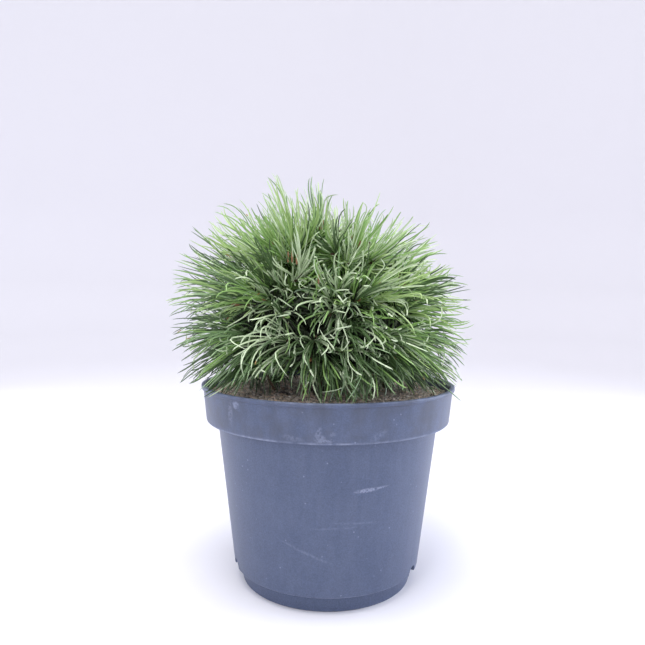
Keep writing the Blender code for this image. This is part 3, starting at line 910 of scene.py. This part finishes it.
def up_the_trunk(height):
    """The share of the trunk that lies below a height."""
    return (height - TRUNK_FOOT.z) / (TRUNK_TIP.z - TRUNK_FOOT.z)


def masses():
    """Each mass's name, its direction from the crown's centre and the height of its bough on the trunk."""
    found = [("top", UP, None)]
    for ring_name, count, elevation, first, height in RINGS:
        for i in range(count):
            azimuth = first + 360.0 * i / count
            stagger = BOUGH_STAGGER * (1 if i % 2 else -1)
            found.append((f"{ring_name}_{i + 1}", direction_of(azimuth, elevation), height + stagger))
    return found


def bark_relief(point, settings):
    """How far the bark stands proud here: plates with furrows between them, and a fine roughness."""
    width = settings.plate_width
    cell = Vector((point.x / width, point.y / width, point.z / (width * PLATE_LENGTH)))
    near, next_near = noise.voronoi(cell)[0][:2]
    plate = min((next_near - near) / FURROW_WIDTH, 1.0)
    rough = noise.fractal(point / BARK_GRAIN, 1.0, 2.0, 2)
    return settings.furrow * (plate - 1.0) + settings.furrow * BARK_ROUGHNESS * rough


def trunk_tube(settings):
    """The trunk with its taper, root flare and lean."""
    shares = [step / (TRUNK_STEPS - 1) for step in range(TRUNK_STEPS)]
    shares = [(1 - STEPS_DRAWN_DOWN) * t + STEPS_DRAWN_DOWN * t * t for t in shares]

    def radius_at(_, turn, centre, outward):
        t = up_the_trunk(centre.z)
        taper = TRUNK_FOOT_RADIUS + (TRUNK_TIP_RADIUS - TRUNK_FOOT_RADIUS) * t
        flare = ROOT_FLARE * math.exp(-t / ROOT_FLARE_HEIGHT)
        radius = taper + flare * (1 - LOBE_SHARE + LOBE_SHARE * math.cos(ROOT_LOBES * turn))
        return radius + bark_relief(centre + outward * radius, settings)

    return tube([trunk_centre(t) for t in shares], [UP] * TRUNK_STEPS, radius_at, TRUNK_SIDES)


def bough_tube(direction, height, settings):
    """One limb from the trunk to the foot of its mass's stem."""
    end = CROWN_CENTRE + direction * (BOUGH_TIP_AT + CLEAR)
    curve = (trunk_centre(up_the_trunk(height)), end - direction * BOUGH_BEND_AT, end)
    shares = [step / (BOUGH_STEPS - 1) for step in range(BOUGH_STEPS)]

    def radius_at(t, turn, centre, outward):
        radius = BOUGH_ROOT_RADIUS + (BOUGH_TIP_RADIUS - BOUGH_ROOT_RADIUS) * t
        return radius + BOUGH_RELIEF * bark_relief(centre + outward * radius, settings)

    centres = [bezier(*curve, t) for t in shares]
    return tube(centres, [bezier_tangent(*curve, t) for t in shares], radius_at, BOUGH_SIDES)


def pine_bark(add, settings):
    """Scaly pine bark: grey-brown plates, darker and redder in the furrows, quite matt."""
    place_of = add("ShaderNodeTexCoord", result="Object")
    inputs = {"Vector": place_of, "Scale": 1 / settings.plate_width}
    plates = add("ShaderNodeTexVoronoi", inputs, "Distance", feature="DISTANCE_TO_EDGE")
    # Flecks of loose bark are about 2 mm across
    fleck = add("ShaderNodeTexNoise", {"Vector": place_of, "Scale": 1 / BARK_FLECK, "Detail": 4.0}, "Fac")
    mixed = add("ShaderNodeMath", {0: plates, 1: fleck}, operation="MULTIPLY")
    stops = ((0.02, linear("#2A1D16")), (0.22, settings.bark))
    colour = add("ShaderNodeValToRGB", {"Fac": mixed}, stops=stops)
    bump = add("ShaderNodeBump", {"Height": fleck, "Strength": 0.5, "Distance": 0.0006})
    return {"Base Color": colour, "Roughness": 0.88, "Normal": bump}


class PINE_OT_limbs(Operator):
    """Builds the trunk and its boughs with the bark's relief"""

    bl_idname = "pine.limbs"
    bl_label = "Build trunk and boughs"

    def execute(self, context):
        settings = context.scene.pine_bark
        points, triangles = trunk_tube(settings)
        for _, direction, height in masses()[1:]:
            more, faces = bough_tube(direction, height, settings)
            triangles += [tuple(len(points) + corner for corner in face) for face in faces]
            points += more
        bark = material_with("scaly pine bark", pine_bark, settings)
        mesh = mesh_from("trunk_and_boughs", points, triangles)
        place("trunk_and_boughs", mesh, bark, nodes_named("trunk", "bough_"))
        return {"FINISHED"}


# Shoots


class Shoot(NamedTuple):
    """A woody shoot as a curve of three points, and its thickness at its foot and tip as shares."""

    foot: Vector
    bend: Vector
    tip: Vector
    taper: tuple

    @property
    def facing(self):
        """Where the shoot points, seen from the crown's middle."""
        return (self.tip - CROWN_CENTRE).normalized()

    def at(self, t):
        return bezier(self.foot, self.bend, self.tip, t)

    def axis_at(self, t):
        return bezier_tangent(self.foot, self.bend, self.tip, t)

    def path(self):
        """The shoot's middle line, and how thick it is at each corner of it."""
        thick, thin = self.taper
        shares = np.linspace(0.0, 1.0, SHOOT_STEPS)
        return [self.at(t) for t in shares], [thick + (thin - thick) * t for t in shares]


def main_shoots(chance):
    """For each mass its stem and the shoots that fork from it: a leader, and side shoots in steps."""
    stems = []
    groups = []
    for name, direction, _ in masses():
        first, second = frame_round(direction, guide_for(direction))
        start = TRUNK_TIP if name == "top" else CROWN_CENTRE + direction * BOUGH_TIP_AT
        fork = CROWN_CENTRE + direction * FORK_AT
        tip = CROWN_CENTRE + direction * SHOOT_TIP_AT * chance.uniform(*LEADER_REACH)
        stems.append(Shoot(start, start.lerp(fork, 0.5), fork, STEM_TAPER))
        group = [Shoot(fork, fork.lerp(tip, 0.5), tip, LEADER_TAPER)]
        start_turn = chance.uniform(0.0, 2 * math.pi)
        for i in range(SIDE_SHOOTS):
            turn = start_turn + 2 * math.pi * i / SIDE_SHOOTS
            across = first * math.cos(turn) * SHOOT_SPREAD_ACROSS
            upwards = second * math.sin(turn) * SHOOT_SPREAD_UP
            reach = SHOOT_TIP_AT * chance.uniform(*SIDE_REACH)
            tip = CROWN_CENTRE + (direction + (across + upwards)).normalized() * reach
            foot = fork + direction * FORK_STEP * (i - (SIDE_SHOOTS - 1) / 2)
            group.append(Shoot(foot, foot.lerp(tip, 0.5) + direction * SIDE_SHOOT_BEND, tip, SIDE_TAPER))
        groups.append(group)
    return stems, groups


def fine_shoots(groups, count, chance):
    """Shoots that fill the crown evenly between the main ones: each leaves the nearest, lower if it leans."""
    taken = [shoot.facing for group in groups for shoot in group]
    facings = [direction for _, direction, _ in masses()]
    lowest = math.sin(math.radians(LOWEST_SHOOT))
    closest = math.cos(FINE_APART * math.sqrt(4 * math.pi / count))
    found = []
    for i in range(count):
        rise = 1 - 2 * (i + 0.5) / count
        if rise < lowest:
            break
        turn = i * GOLDEN_ANGLE
        flat = math.sqrt(1 - rise * rise)
        shake = Vector([chance.gauss(0.0, FINE_SHAKE) for _ in range(3)])
        facing = (Vector((flat * math.cos(turn), flat * math.sin(turn), rise)) + shake).normalized()
        if any(facing.dot(other) > closest for other in taken):
            continue
        taken.append(facing)
        tip = CROWN_CENTRE + facing * (SHOOT_TIP_AT * chance.uniform(*FINE_REACH))
        tip.z = max(tip.z, OVER_SOIL + SHOOT_OVER_SOIL)
        own = max(range(len(facings)), key=lambda k: facings[k].dot(facing))
        parent = min(groups[own], key=lambda shoot: (shoot.tip - tip).length)
        lean = parent.axis_at(0.5).angle(tip - parent.foot)
        share = min(max(FINE_FOOT - lean, FINE_FOOT_LEAST), FINE_FOOT_MOST)
        foot = parent.at(share)
        onwards = parent.axis_at(share) * (tip - foot).length * FINE_BEND
        bend = foot.lerp(tip, FINE_BEND_AT) + onwards
        found.append(Shoot(foot, bend, tip, FINE_TAPER))
    return found


GROWN = {}


def crown_shoots(settings):
    """The stems, the main shoots and the fine ones, grown once for each seed and number of sprays."""
    key = (settings.seed, settings.sprays)
    if key not in GROWN:
        chance = random.Random(settings.seed)
        stems, groups = main_shoots(chance)
        GROWN[key] = (stems, sum(groups, []), fine_shoots(groups, settings.sprays, chance))
    return GROWN[key]


def bud_path(foot, axis, length, share):
    """A bud's middle line, and how thick it is at each corner of it: it swells and closes to a point."""
    line = [foot + axis * length * t for t in np.linspace(0.0, 1.0, len(BUD_SWELL))]
    return line, [share * swell for swell in BUD_SWELL]


def bud_paths(main, chance):
    """Buds at the tips of every other main shoot, some with smaller ones beside them, and those in front."""
    buds = []
    for shoot in main[::2]:
        axis = shoot.axis_at(1.0)
        buds.append(bud_path(shoot.tip - axis * BUD_SUNK, axis, chance.uniform(*BUD_LENGTH), 1.0))
        first, second = frame_round(axis, guide_for(axis))
        for _ in range(chance.choice(SIDE_BUDS)):
            turn = chance.uniform(0.0, 6.283)
            aside = first * math.cos(turn) + second * math.sin(turn)
            lean = (axis + aside * SIDE_BUD_LEAN).normalized()
            length = chance.uniform(*SIDE_BUD_LENGTH)
            buds.append(bud_path(shoot.tip - axis * SIDE_BUD_SUNK, lean, length, SIDE_BUD_SHARE))
    for azimuth, elevation, length, reach in FRONT_BUDS:
        foot = CROWN_CENTRE + direction_of(azimuth, elevation) * reach
        buds.append(bud_path(foot, UP, length, FRONT_BUD_SHARE))
    return buds


class PINE_OT_shoots(Operator):
    """Builds the woody shoots and their buds"""

    bl_idname = "pine.shoots"
    bl_label = "Build shoots and buds"

    def execute(self, context):
        settings = context.scene.pine_needles
        stems, main, fine = crown_shoots(settings)
        # Young bark is matt and dull brown, so that shoots sink into the shade between the needles
        bark = plain_material("young shoot bark", linear("#4A3A2A"), 0.8)
        # Resin on the scales gives buds a soft shine, redder than the bark
        scales = plain_material("resinous bud scales", linear("#8A6446"), 0.5)
        buds = bud_paths(main, random.Random(settings.seed + 1))
        pieces = (
            ("shoots", [shoot.path() for shoot in stems + main + fine], SHOOT_RADIUS, 0.14, bark),
            ("buds", buds, BUD_RADIUS, 0.16, scales),
        )
        tree = sweep_tree()
        for name, paths, radius, knobs, material in pieces:
            values = {"Radius": radius, "Corners": 6, "Knobs": knobs, "Smooth": True, "Material": material}
            mesh = grown(name, path_mesh(name, *zip(*paths)), tree, values)
            place(name, mesh, material, nodes_named("foliage_"))
        return {"FINISHED"}


# Needles


def least_height(points):
    """The lowest that a needle may lie at each point: over the soil or the lip, or outside the lip."""
    away = np.hypot(points[:, 0], points[:, 1])
    azimuth = np.degrees(np.arctan2(points[:, 1], points[:, 0]))
    least = np.where(away > LIP_REACH, OVER_LIP, OVER_SOIL)
    for middle, width in OVERHANGS:
        least = np.where((away > PAST_LIP) & (np.abs(azimuth - middle) < width), OUTSIDE_LIP, least)
    for middle, width, lift in BARE_SOIL:
        near = np.clip(1 - np.abs(azimuth - middle) / width, 0.0, 1.0)
        least = np.maximum(least, np.where(near > 0, OVER_SOIL + lift * np.sqrt(near), least))
    return least


def nearness(directions, azimuth, elevation):
    """How closely each direction points at this one: 1 where it does, 0 at right angles and beyond."""
    return np.clip(directions @ np.array(direction_of(azimuth, elevation)), 0.0, 1.0)


def needle_reach(directions):
    """How far the crown reaches along each direction: a ball with swells, cut off over soil and lip."""
    centre = np.array(CROWN_CENTRE)
    flat = np.hypot(directions[:, 0], directions[:, 1])
    reach = 1 / np.sqrt((flat / CROWN_RADIUS) ** 2 + (directions[:, 2] / CROWN_RISE) ** 2)
    for azimuth, elevation, swell, narrow in CROWN_SWELLS:
        reach = reach * (1 + swell * nearness(directions, azimuth, elevation) ** narrow)
    down = np.minimum(directions[:, 2], -1e-6)
    for _ in range(3):
        tips = centre + directions * reach[:, None]
        least = least_height(tips)
        reach = np.where(tips[:, 2] < least, (centre[2] - least) / -down, reach)
    return reach


def unit(vectors):
    return vectors / np.linalg.norm(vectors, axis=1, keepdims=True)


class Paths(NamedTuple):
    """Needles as curves of four points each, with how far and to which side each curls at its tip."""

    root: np.ndarray
    leave: np.ndarray
    arrive: np.ndarray
    tip: np.ndarray
    hook: np.ndarray
    hook_side: np.ndarray

    def at(self, t):
        """Every needle's place at a share along it."""
        bent = np.clip((t - CURL_FROM) / (1 - CURL_FROM), 0.0, 1.0) ** 2
        point = (
            self.root * (1 - t) ** 3
            + self.leave * (3 * t * (1 - t) ** 2)
            + self.arrive * (3 * t * t * (1 - t))
            + self.tip * t**3
        )
        back = unit(self.root - self.tip)
        length = np.linalg.norm(self.tip - self.root, axis=1, keepdims=True)
        turn = (self.hook_side + back * 0.75) * length * self.hook[:, None]
        return point + turn * bent

    def some(self, which):
        """The needles that a mask picks."""
        return Paths(*(values[which] for values in self))


def joined(parts):
    """The needles of several sprays as one."""
    return Paths(*(np.concatenate(column) for column in zip(*parts)))


class Spray(NamedTuple):
    """How a kind of spray grows: pairs, spread, most and least reach, and where on the shoot it roots."""

    pairs: int
    spread: float
    most: float
    least: float
    root_high: float
    root_low: float


# Where along a needle its curl starts
CURL_FROM = 0.62
# How much the pairs' turns round the shoot are shaken, the share of pairs that stray, and how much wider
TURN_SHAKE = 0.25
STRAY_SHARE = 0.12
STRAY_SPREAD = 1.7
# How unevenly the pairs spread, how far apart a pair's two needles stand, and where they root
SPREAD_SHAKE = (0.75, 1.15)
PAIR_APART = (0.02, 0.08)
ROOT_SHAKE = 0.04
# How much a whole spray and each of its needles may differ in reach
SPRAY_REACH = (0.90, 1.06)
OWN_REACH = (0.96, 1.02)
# How much a whole spray and each of its needles may bend, as shares of a needle's length
SPRAY_BEND = 0.08
OWN_BEND = 0.06
# How far a curled needle's tip turns, and a straight one's
CURLED = (0.10, 0.28)
STRAIGHT = (0.0, 0.05)
# How much narrower the sprays are at the crown's very top
TOP_TUFT = 0.4
# How far from each end a needle's two bends lie, as shares of its length
LEAVE_AT = 0.34
ARRIVE_AT = 0.33
# The share of its length by which a low needle hangs
HANG = 0.42
# Needles that rise less than this hang or arch, each by its own share
HANGS_BELOW = 0.10
HANG_SHAKE = (0.3, 1.5)
ARCHES_BELOW = 0.80
ARCH_SHAKE = (0.2, 0.8)
# How many places along a needle are looked at, and how deep it may sink into soil or lip
LOOKED_AT = 13
SINKS_AT_MOST = 0.0008


def spray_tips(shoot, kind, chance):
    """The way that each needle of a spray leans across its shoot, its direction and its tip."""
    count = kind.pairs
    total = 2 * count
    facing = np.array(shoot.facing)
    first, second = (np.array(v) for v in frame_round(shoot.facing, guide_for(shoot.facing)))
    order = (np.arange(count) + 0.5) / count
    turn = np.arange(count) * GOLDEN_ANGLE + chance.uniform(0.0, 6.283)
    turn = turn + chance.normal(0.0, TURN_SHAKE, count)
    stray = np.where(chance.uniform(size=count) < STRAY_SHARE, STRAY_SPREAD, 1.0)
    tuft = 1 - TOP_TUFT * max(shoot.facing.z, 0.0) ** 2
    spread = kind.spread * tuft * np.sqrt(order) * stray * chance.uniform(*SPREAD_SHAKE, count)
    across = first * np.cos(turn)[:, None] + second * np.sin(turn)[:, None]
    directions = np.repeat(unit(facing + across * np.tan(spread)[:, None]), 2, axis=0)
    across = np.repeat(across, 2, axis=0)
    apart = unit(np.cross(directions, chance.normal(0.0, 1.0, (total, 3))))
    directions = unit(directions + apart * chance.uniform(*PAIR_APART, (total, 1)))
    fullness = kind.most + (kind.least - kind.most) * np.repeat(order, 2)
    fullness = fullness * chance.uniform(*SPRAY_REACH) * chance.uniform(*OWN_REACH, total)
    reach = np.minimum(needle_reach(directions) * fullness, CROWN_LIMIT)
    return across, directions, np.array(CROWN_CENTRE) + directions * reach[:, None]


def tip_curls(directions, towards, chance):
    """How far each needle's tip curls, and to which side."""
    total = len(directions)
    # Needles curl most on the two sides that face the front and the back, at half height
    curly = np.clip(0.8 * directions[:, 1] ** 2 - 1.2 * np.abs(directions[:, 2] - 0.03), 0.05, 0.55)
    hooked = chance.uniform(size=total) < curly
    hook = np.where(hooked, chance.uniform(*CURLED, total), chance.uniform(*STRAIGHT, total))
    return hook, unit(np.cross(towards, chance.normal(0.0, 1.0, (total, 3))))


def kept_where_thin(directions, chance):
    """Which needles stay: some of those at the crown's sparse places are left out."""
    thin = np.zeros(len(directions))
    for azimuth, elevation, share in THIN_PLACES:
        thin = np.maximum(thin, share * nearness(directions, azimuth, elevation) ** THIN_NARROW)
    return chance.uniform(size=len(directions)) > thin


def spray_paths(shoot, kind, chance):
    """The pairs of needles of one shoot: the outer ones are rooted lower, lean more and reach less far."""
    across, directions, tips = spray_tips(shoot, kind, chance)
    count = kind.pairs
    total = 2 * count
    up = np.array(UP)
    facing = np.array(shoot.facing)
    order = (np.arange(count) + 0.5) / count
    low = kind.root_high + (kind.root_low - kind.root_high) * order
    low = np.repeat(np.clip(low + chance.normal(0.0, ROOT_SHAKE, count), 0.0, 0.98), 2)
    roots = np.array([shoot.at(t) for t in low])
    axes = np.array([shoot.axis_at(t) for t in low])
    length = np.linalg.norm(tips - roots, axis=1, keepdims=True)
    rise = directions[:, 2:]
    hang = np.clip(HANGS_BELOW - rise, 0.0, 0.8) * chance.uniform(*HANG_SHAKE, (total, 1))
    arch = np.clip(ARCHES_BELOW - rise, 0.0, 1.1) * chance.uniform(*ARCH_SHAKE, (total, 1))
    tips = tips - up * length * hang * HANG
    towards = unit(tips - roots)
    leave = roots + unit(towards + axes * 0.20 + across * 0.12 + up * arch * 0.7) * length * LEAVE_AT
    bend = chance.normal(0.0, SPRAY_BEND, (1, 3)) + chance.normal(0.0, OWN_BEND, (total, 3))
    arrive = tips - (unit(towards * 0.6 + facing * 0.4 - up * arch) * ARRIVE_AT - bend) * length
    hook, hook_side = tip_curls(directions, towards, chance)
    paths = Paths(roots, leave, arrive, tips, hook, hook_side)
    return paths.some(kept_where_thin(directions, chance))


def lifted_clear(paths):
    """The needles lifted off the soil and the lip where they sank into it, without those that still do."""
    for lift in (True, True, False):
        sunk = np.zeros(len(paths.root))
        for t in np.linspace(0.0, 1.0, LOOKED_AT):
            points = paths.at(t)
            sunk = np.maximum(sunk, least_height(points) - points[:, 2])
        if lift:
            for column, share in ((paths.tip, 1.0), (paths.arrive, 1.0), (paths.leave, 0.5)):
                column[:, 2] += sunk * share
    return paths.some(sunk < SINKS_AT_MOST)


# How much paler the greens are on the crown's +X side: a painted light for the brighter gloss that the right
# side shows
RIGHT_SIDE_PAINTED_LIGHT = 0.42
# Greens of the needles, the palest last: name, colour, weight low in the crown and weight at its top. The
# weights are partly painted light and shade: the lit top takes paler greens and the shaded lower crown darker
# ones
GREENS = (
    ("deep", "#465F36", 3.6, 0.3),
    ("leaf", "#86AB5F", 0.6, 1.7),
    ("fresh", "#ACC782", 0.0, 1.3),
    ("grey", "#7C9A69", 1.1, 0.6),
    ("light", "#BCCDA7", 0.20, 1.2),
)
# Last year's needles: name, colour, and whether they are the low ones, which rise less than this. Their dark
# greens are partly painted shade for the crown's inside, and the near-black low ones wholly so
INNER_GREENS = (("inner_low_painted_shade", "#202A17", True), ("inner_high", "#4C6B2C", False))
INNER_HIGH_FROM = 0.3
INNER_SPRAY = Spray(34, math.radians(34.0), 0.68, 0.45, 0.75, 0.0)
# The share of needles that take their spray's green, the others each their own
OF_ONE_GREEN = 0.65
# The share of curled needles that take the palest green, partly for their pale inner face and partly as
# painted highlight, and the shares of curled ones and others with a cream tip
PALE_CURLS = 0.6
CREAM_CURLS = 0.30
CREAM_OTHERS = 0.03
# Tips are dealt out by a number from 0 to 1, and over this one they are brown
BROWN_OVER = 0.997
# A needle's section is a triangle a little flatter than an even one
NEEDLE_FLATNESS = 0.64
# How wide a needle is at each share along it: a whole one, an inner one and a coloured tip
TAPER = (
    (0.0, 0.60),
    (0.16, 0.92),
    (0.36, 1.0),
    (0.54, 1.0),
    (0.67, 0.98),
    (0.78, 0.93),
    (0.87, 0.82),
    (0.95, 0.60),
    (1.0, 0.04),
)
INNER_TAPER = ((0.0, 0.8), (0.30, 1.3), (0.60, 1.3), (0.85, 1.0), (1.0, 0.05))
TIP_TAPER = ((0.90, 0.96), (0.95, 0.81), (0.98, 0.56), (1.002, 0.05))


def dealt_by_green(paths, share, chance):
    """Each needle's green as a number: most of a spray's needles have one, weighted by height, which is
    partly painted light and shade, and by the painted light on the crown's +X side.
    """
    weights = np.array([at_foot + (at_top - at_foot) * share for _, _, at_foot, at_top in GREENS])
    weights = weights / weights.sum()
    count = len(paths.root)
    green = np.where(
        chance.uniform(size=count) < OF_ONE_GREEN,
        chance.choice(len(GREENS), p=weights),
        chance.choice(len(GREENS), size=count, p=weights),
    )
    # A curled needle turns its pale inner face outwards; its palest green is partly a painted highlight where
    # it catches the light
    curled = (paths.hook > CURLED[0]) & (chance.uniform(size=count) < PALE_CURLS)
    return np.where(curled, len(GREENS) - 1, green)


def green_needles(shoots, settings, chance):
    """This year's needles of all the shoots, in a list of sprays for each green."""
    few = settings.pairs
    wide = settings.spread * 1.8
    longest = Spray(few, settings.spread, 1.05, 0.79, 0.85, 0.10)
    shorter = Spray(round(few * 1.2), wide, 0.76, 0.58, 0.80, 0.0)
    sparser = Spray(round(few * 0.45), wide, 0.78, 0.60, 0.80, 0.0)
    hanging = Spray(round(few * 0.5), settings.spread * 1.4, 1.0, 0.80, 0.80, 0.0)
    # Each kind of spray is given with how much fresher its greens are
    high_kinds = ((longest, 0.30), (shorter, 0.50))
    low_kinds = ((longest, 0.30), (sparser, 0.50), (hanging, 0.35))
    by_green = [[] for _ in GREENS]
    for shoot in shoots:
        # Painted light: sprays that face +X take paler greens
        right_side_painted_light = RIGHT_SIDE_PAINTED_LIGHT * max(shoot.facing.x, 0.0)
        for kind, fresher in low_kinds if shoot.facing.z < 0.0 else high_kinds:
            paths = lifted_clear(spray_paths(shoot, kind, chance))
            # Higher sprays take paler greens: partly painted light on the crown's top and painted shade low
            # down
            rise = min(max(shoot.facing.z + fresher + right_side_painted_light, 0.0), 1.0) ** 1.4
            green = dealt_by_green(paths, rise, chance)
            for i, sprays in enumerate(by_green):
                sprays.append(paths.some(green == i))
    return by_green


def inner_pieces(shoots, chance):
    """Last year's needles as two pieces, each with its name, curves, widths and material."""
    pieces = []
    for name, colour, low in INNER_GREENS:
        own = [shoot for shoot in shoots if (shoot.facing.z < INNER_HIGH_FROM) == low]
        paths = lifted_clear(joined([spray_paths(shoot, INNER_SPRAY, chance) for shoot in own]))
        # Last year's needles have lost their wax and are duller; their dark colour is mostly painted shade,
        # which gives the crown its depth
        material = plain_material(f"dull needle cuticle, {name}", linear(colour), 0.6)
        pieces.append((f"needles_{name}", paths, INNER_TAPER, material))
    return pieces


def green_pieces(by_green):
    """This year's needles as one piece for each green."""
    pieces = []
    for (name, colour, *_), sprays in zip(GREENS, by_green):
        # This year's cuticle is waxy: a soft glint runs along each needle
        material = plain_material(f"waxy needle cuticle, {name}", linear(colour), 0.42, 1.65)
        pieces.append((f"needles_{name}", joined(sprays), TAPER, material))
    return pieces


def tip_pieces(paths, chance):
    """The dry tips of some of this year's needles: cream ones, mostly where they curl, and brown."""
    deal = chance.uniform(size=len(paths.root))
    cream = deal < np.where(paths.hook > CURLED[0], CREAM_CURLS, CREAM_OTHERS)
    pieces = []
    for name, which, colour in (("cream", cream, "#CBD8B6"), ("brown", deal > BROWN_OVER, "#A07A4C")):
        # A dry tip is paler or browner than its needle and has no wax, so it doesn't glint
        material = plain_material(f"dry needle tip, {name}", linear(colour), 0.5)
        pieces.append((f"needle_tips_{name}", paths.some(which), TIP_TAPER, material))
    return pieces


class PINE_OT_needles(Operator):
    """Builds every spray of needles, each in one of the plant's greens"""

    bl_idname = "pine.needles"
    bl_label = "Build needles"

    def execute(self, context):
        settings = context.scene.pine_needles
        stems, main, fine = crown_shoots(settings)
        chance = np.random.default_rng(settings.seed)
        by_green = green_needles(main + fine, settings, chance)
        pieces = inner_pieces(stems + main, chance) + green_pieces(by_green)
        pieces += tip_pieces(joined(sum(by_green, [])), chance)
        tree = sweep_tree()
        # The corners of a triangle lie at its side over the square root of 3 from its middle
        values = {"Radius": settings.width / math.sqrt(3), "Corners": 3, "Thickness": NEEDLE_FLATNESS}
        for seed, (name, own, taper, material) in enumerate(pieces, 1):
            lines = np.stack([own.at(share) for share, _ in taper], axis=1)
            tapers = np.tile([width for _, width in taper], (len(lines), 1))
            values.update({"Seed": seed, "Material": material})
            mesh = grown(name, path_mesh(name, lines, tapers), tree, values)
            place(name, mesh, material, nodes_named("foliage_"))
        return {"FINISHED"}


# Studio: the floor's radius and height from its middle outwards, rising into a wall all round
FLOOR_OUTLINE = ((1.2, 0.0), (2.2, 0.0), (2.7, 0.08), (3.05, 0.35), (3.2, 0.8), (3.25, 2.5))
FLOOR_SIDES = 96
# Lamps: name, place, the height that it aims at, width, share of the power, colour
LAMPS = (
    ("overhead lamp", (-0.15, -0.40, 1.5), 0.20, 0.7, 0.90, "#FFFFFF"),
    ("front lamp", (-0.50, -1.20, 0.8), 0.20, 0.4, 0.25, "#FFFFFF"),
    ("right lamp", (1.2, 0.20, 0.4), 0.15, 1.2, 1.00, "#E2ECFF"),
    ("left lamp", (-1.2, 0.45, 0.4), 0.15, 1.2, 0.35, "#E2ECFF"),
)
CAMERA_PLACE = (-0.0062, -0.60, 0.283)
# How far the camera looks down and how far it is turned about its line of sight, in radians
CAMERA_DOWN = 0.0437
CAMERA_ROLL = 0.0112
CAMERA_LENS = 32.7
CAMERA_SENSOR = 36.0


def studio_floor(settings):
    """A round floor that rises into a wall, so that no edge of it shows."""
    points = [(0.0, 0.0, 0.0)]
    for radius, height in FLOOR_OUTLINE:
        points += ring(radius, height, FLOOR_SIDES)
    floor = mesh_from("studio floor", points, disc_triangles(FLOOR_SIDES, len(FLOOR_OUTLINE)))
    # Matt paint spreads the light, so that only a soft shadow lies round the pot
    floor.materials.append(plain_material("matt painted floor", settings.floor, 0.9))
    in_scene("studio_floor", floor)


def soft_lamp(name, place_at, aim, size, power, colour):
    """A round lamp that points at a height over the floor's middle."""
    light = bpy.data.lights.new(name, "AREA")
    light.shape = "DISK"
    light.size = size
    light.energy = power
    light.color = linear(colour)[:3]
    lamp = in_scene(name, light)
    lamp.location = place_at
    way = Vector((0.0, 0.0, aim)) - lamp.location
    lamp.rotation_euler = way.to_track_quat("-Z", "Y").to_euler()


def set_camera(scene):
    """Stands the camera in front of the plant, as high as the crown's middle."""
    camera = bpy.data.cameras.new("camera")
    camera.lens = CAMERA_LENS
    camera.sensor_width = CAMERA_SENSOR
    camera.clip_start = 0.01
    eye = in_scene("camera", camera)
    tilt = Matrix.Rotation(math.pi / 2 - CAMERA_DOWN, 4, "X") @ Matrix.Rotation(CAMERA_ROLL, 4, "Z")
    eye.matrix_world = Matrix.Translation(CAMERA_PLACE) @ tilt
    scene.camera = eye
    scene.view_settings.view_transform = "Standard"


class PINE_OT_studio(Operator):
    """Builds the pale floor, the soft light and the camera"""

    bl_idname = "pine.studio"
    bl_label = "Set up studio"

    def execute(self, context):
        settings = context.scene.pine_studio
        studio_floor(settings)
        world = bpy.data.worlds.new("soft room light")
        world.use_nodes = True
        background = world.node_tree.nodes["Background"]
        background.inputs["Color"].default_value = settings.sky
        background.inputs["Strength"].default_value = settings.sky_strength
        context.scene.world = world
        for name, place_at, aim, size, share, colour in LAMPS:
            soft_lamp(name, place_at, aim, size, settings.lamp * share, colour)
        set_camera(context.scene)
        return {"FINISHED"}


class PINE_PT_sidebar(Panel):
    """Lists the steps that build the plant"""

    bl_idname = "PINE_PT_sidebar"
    bl_label = "Potted dwarf pine"
    bl_space_type = "VIEW_3D"
    bl_region_type = "UI"
    bl_category = "Pine"

    def draw(self, context):
        for group in SETTINGS:
            box = self.layout.box()
            settings = getattr(context.scene, group)
            for name in settings.bl_rna.properties.keys():
                if name not in ("rna_type", "name"):
                    box.prop(settings, name)
        for operator in OPERATORS:
            self.layout.operator(operator.bl_idname)


SETTINGS = {
    "pine_pot": PotSettings,
    "pine_soil": SoilSettings,
    "pine_bark": BarkSettings,
    "pine_needles": NeedleSettings,
    "pine_studio": StudioSettings,
}
OPERATORS = (
    PINE_OT_pot,
    PINE_OT_soil,
    PINE_OT_limbs,
    PINE_OT_shoots,
    PINE_OT_needles,
    PINE_OT_studio,
)
CLASSES = (*SETTINGS.values(), *OPERATORS, PINE_PT_sidebar)


def register():
    for one in CLASSES:
        bpy.utils.register_class(one)
    for name, group in SETTINGS.items():
        setattr(bpy.types.Scene, name, PointerProperty(type=group))


def unregister():
    for name in SETTINGS:
        delattr(bpy.types.Scene, name)
    for one in reversed(CLASSES):
        bpy.utils.unregister_class(one)


def main():
    register()
    bpy.ops.pine.pot()
    bpy.ops.pine.soil()
    bpy.ops.pine.limbs()
    bpy.ops.pine.shoots()
    bpy.ops.pine.needles()
    bpy.ops.pine.studio()
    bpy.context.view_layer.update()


if __name__ == "__main__":
    main()
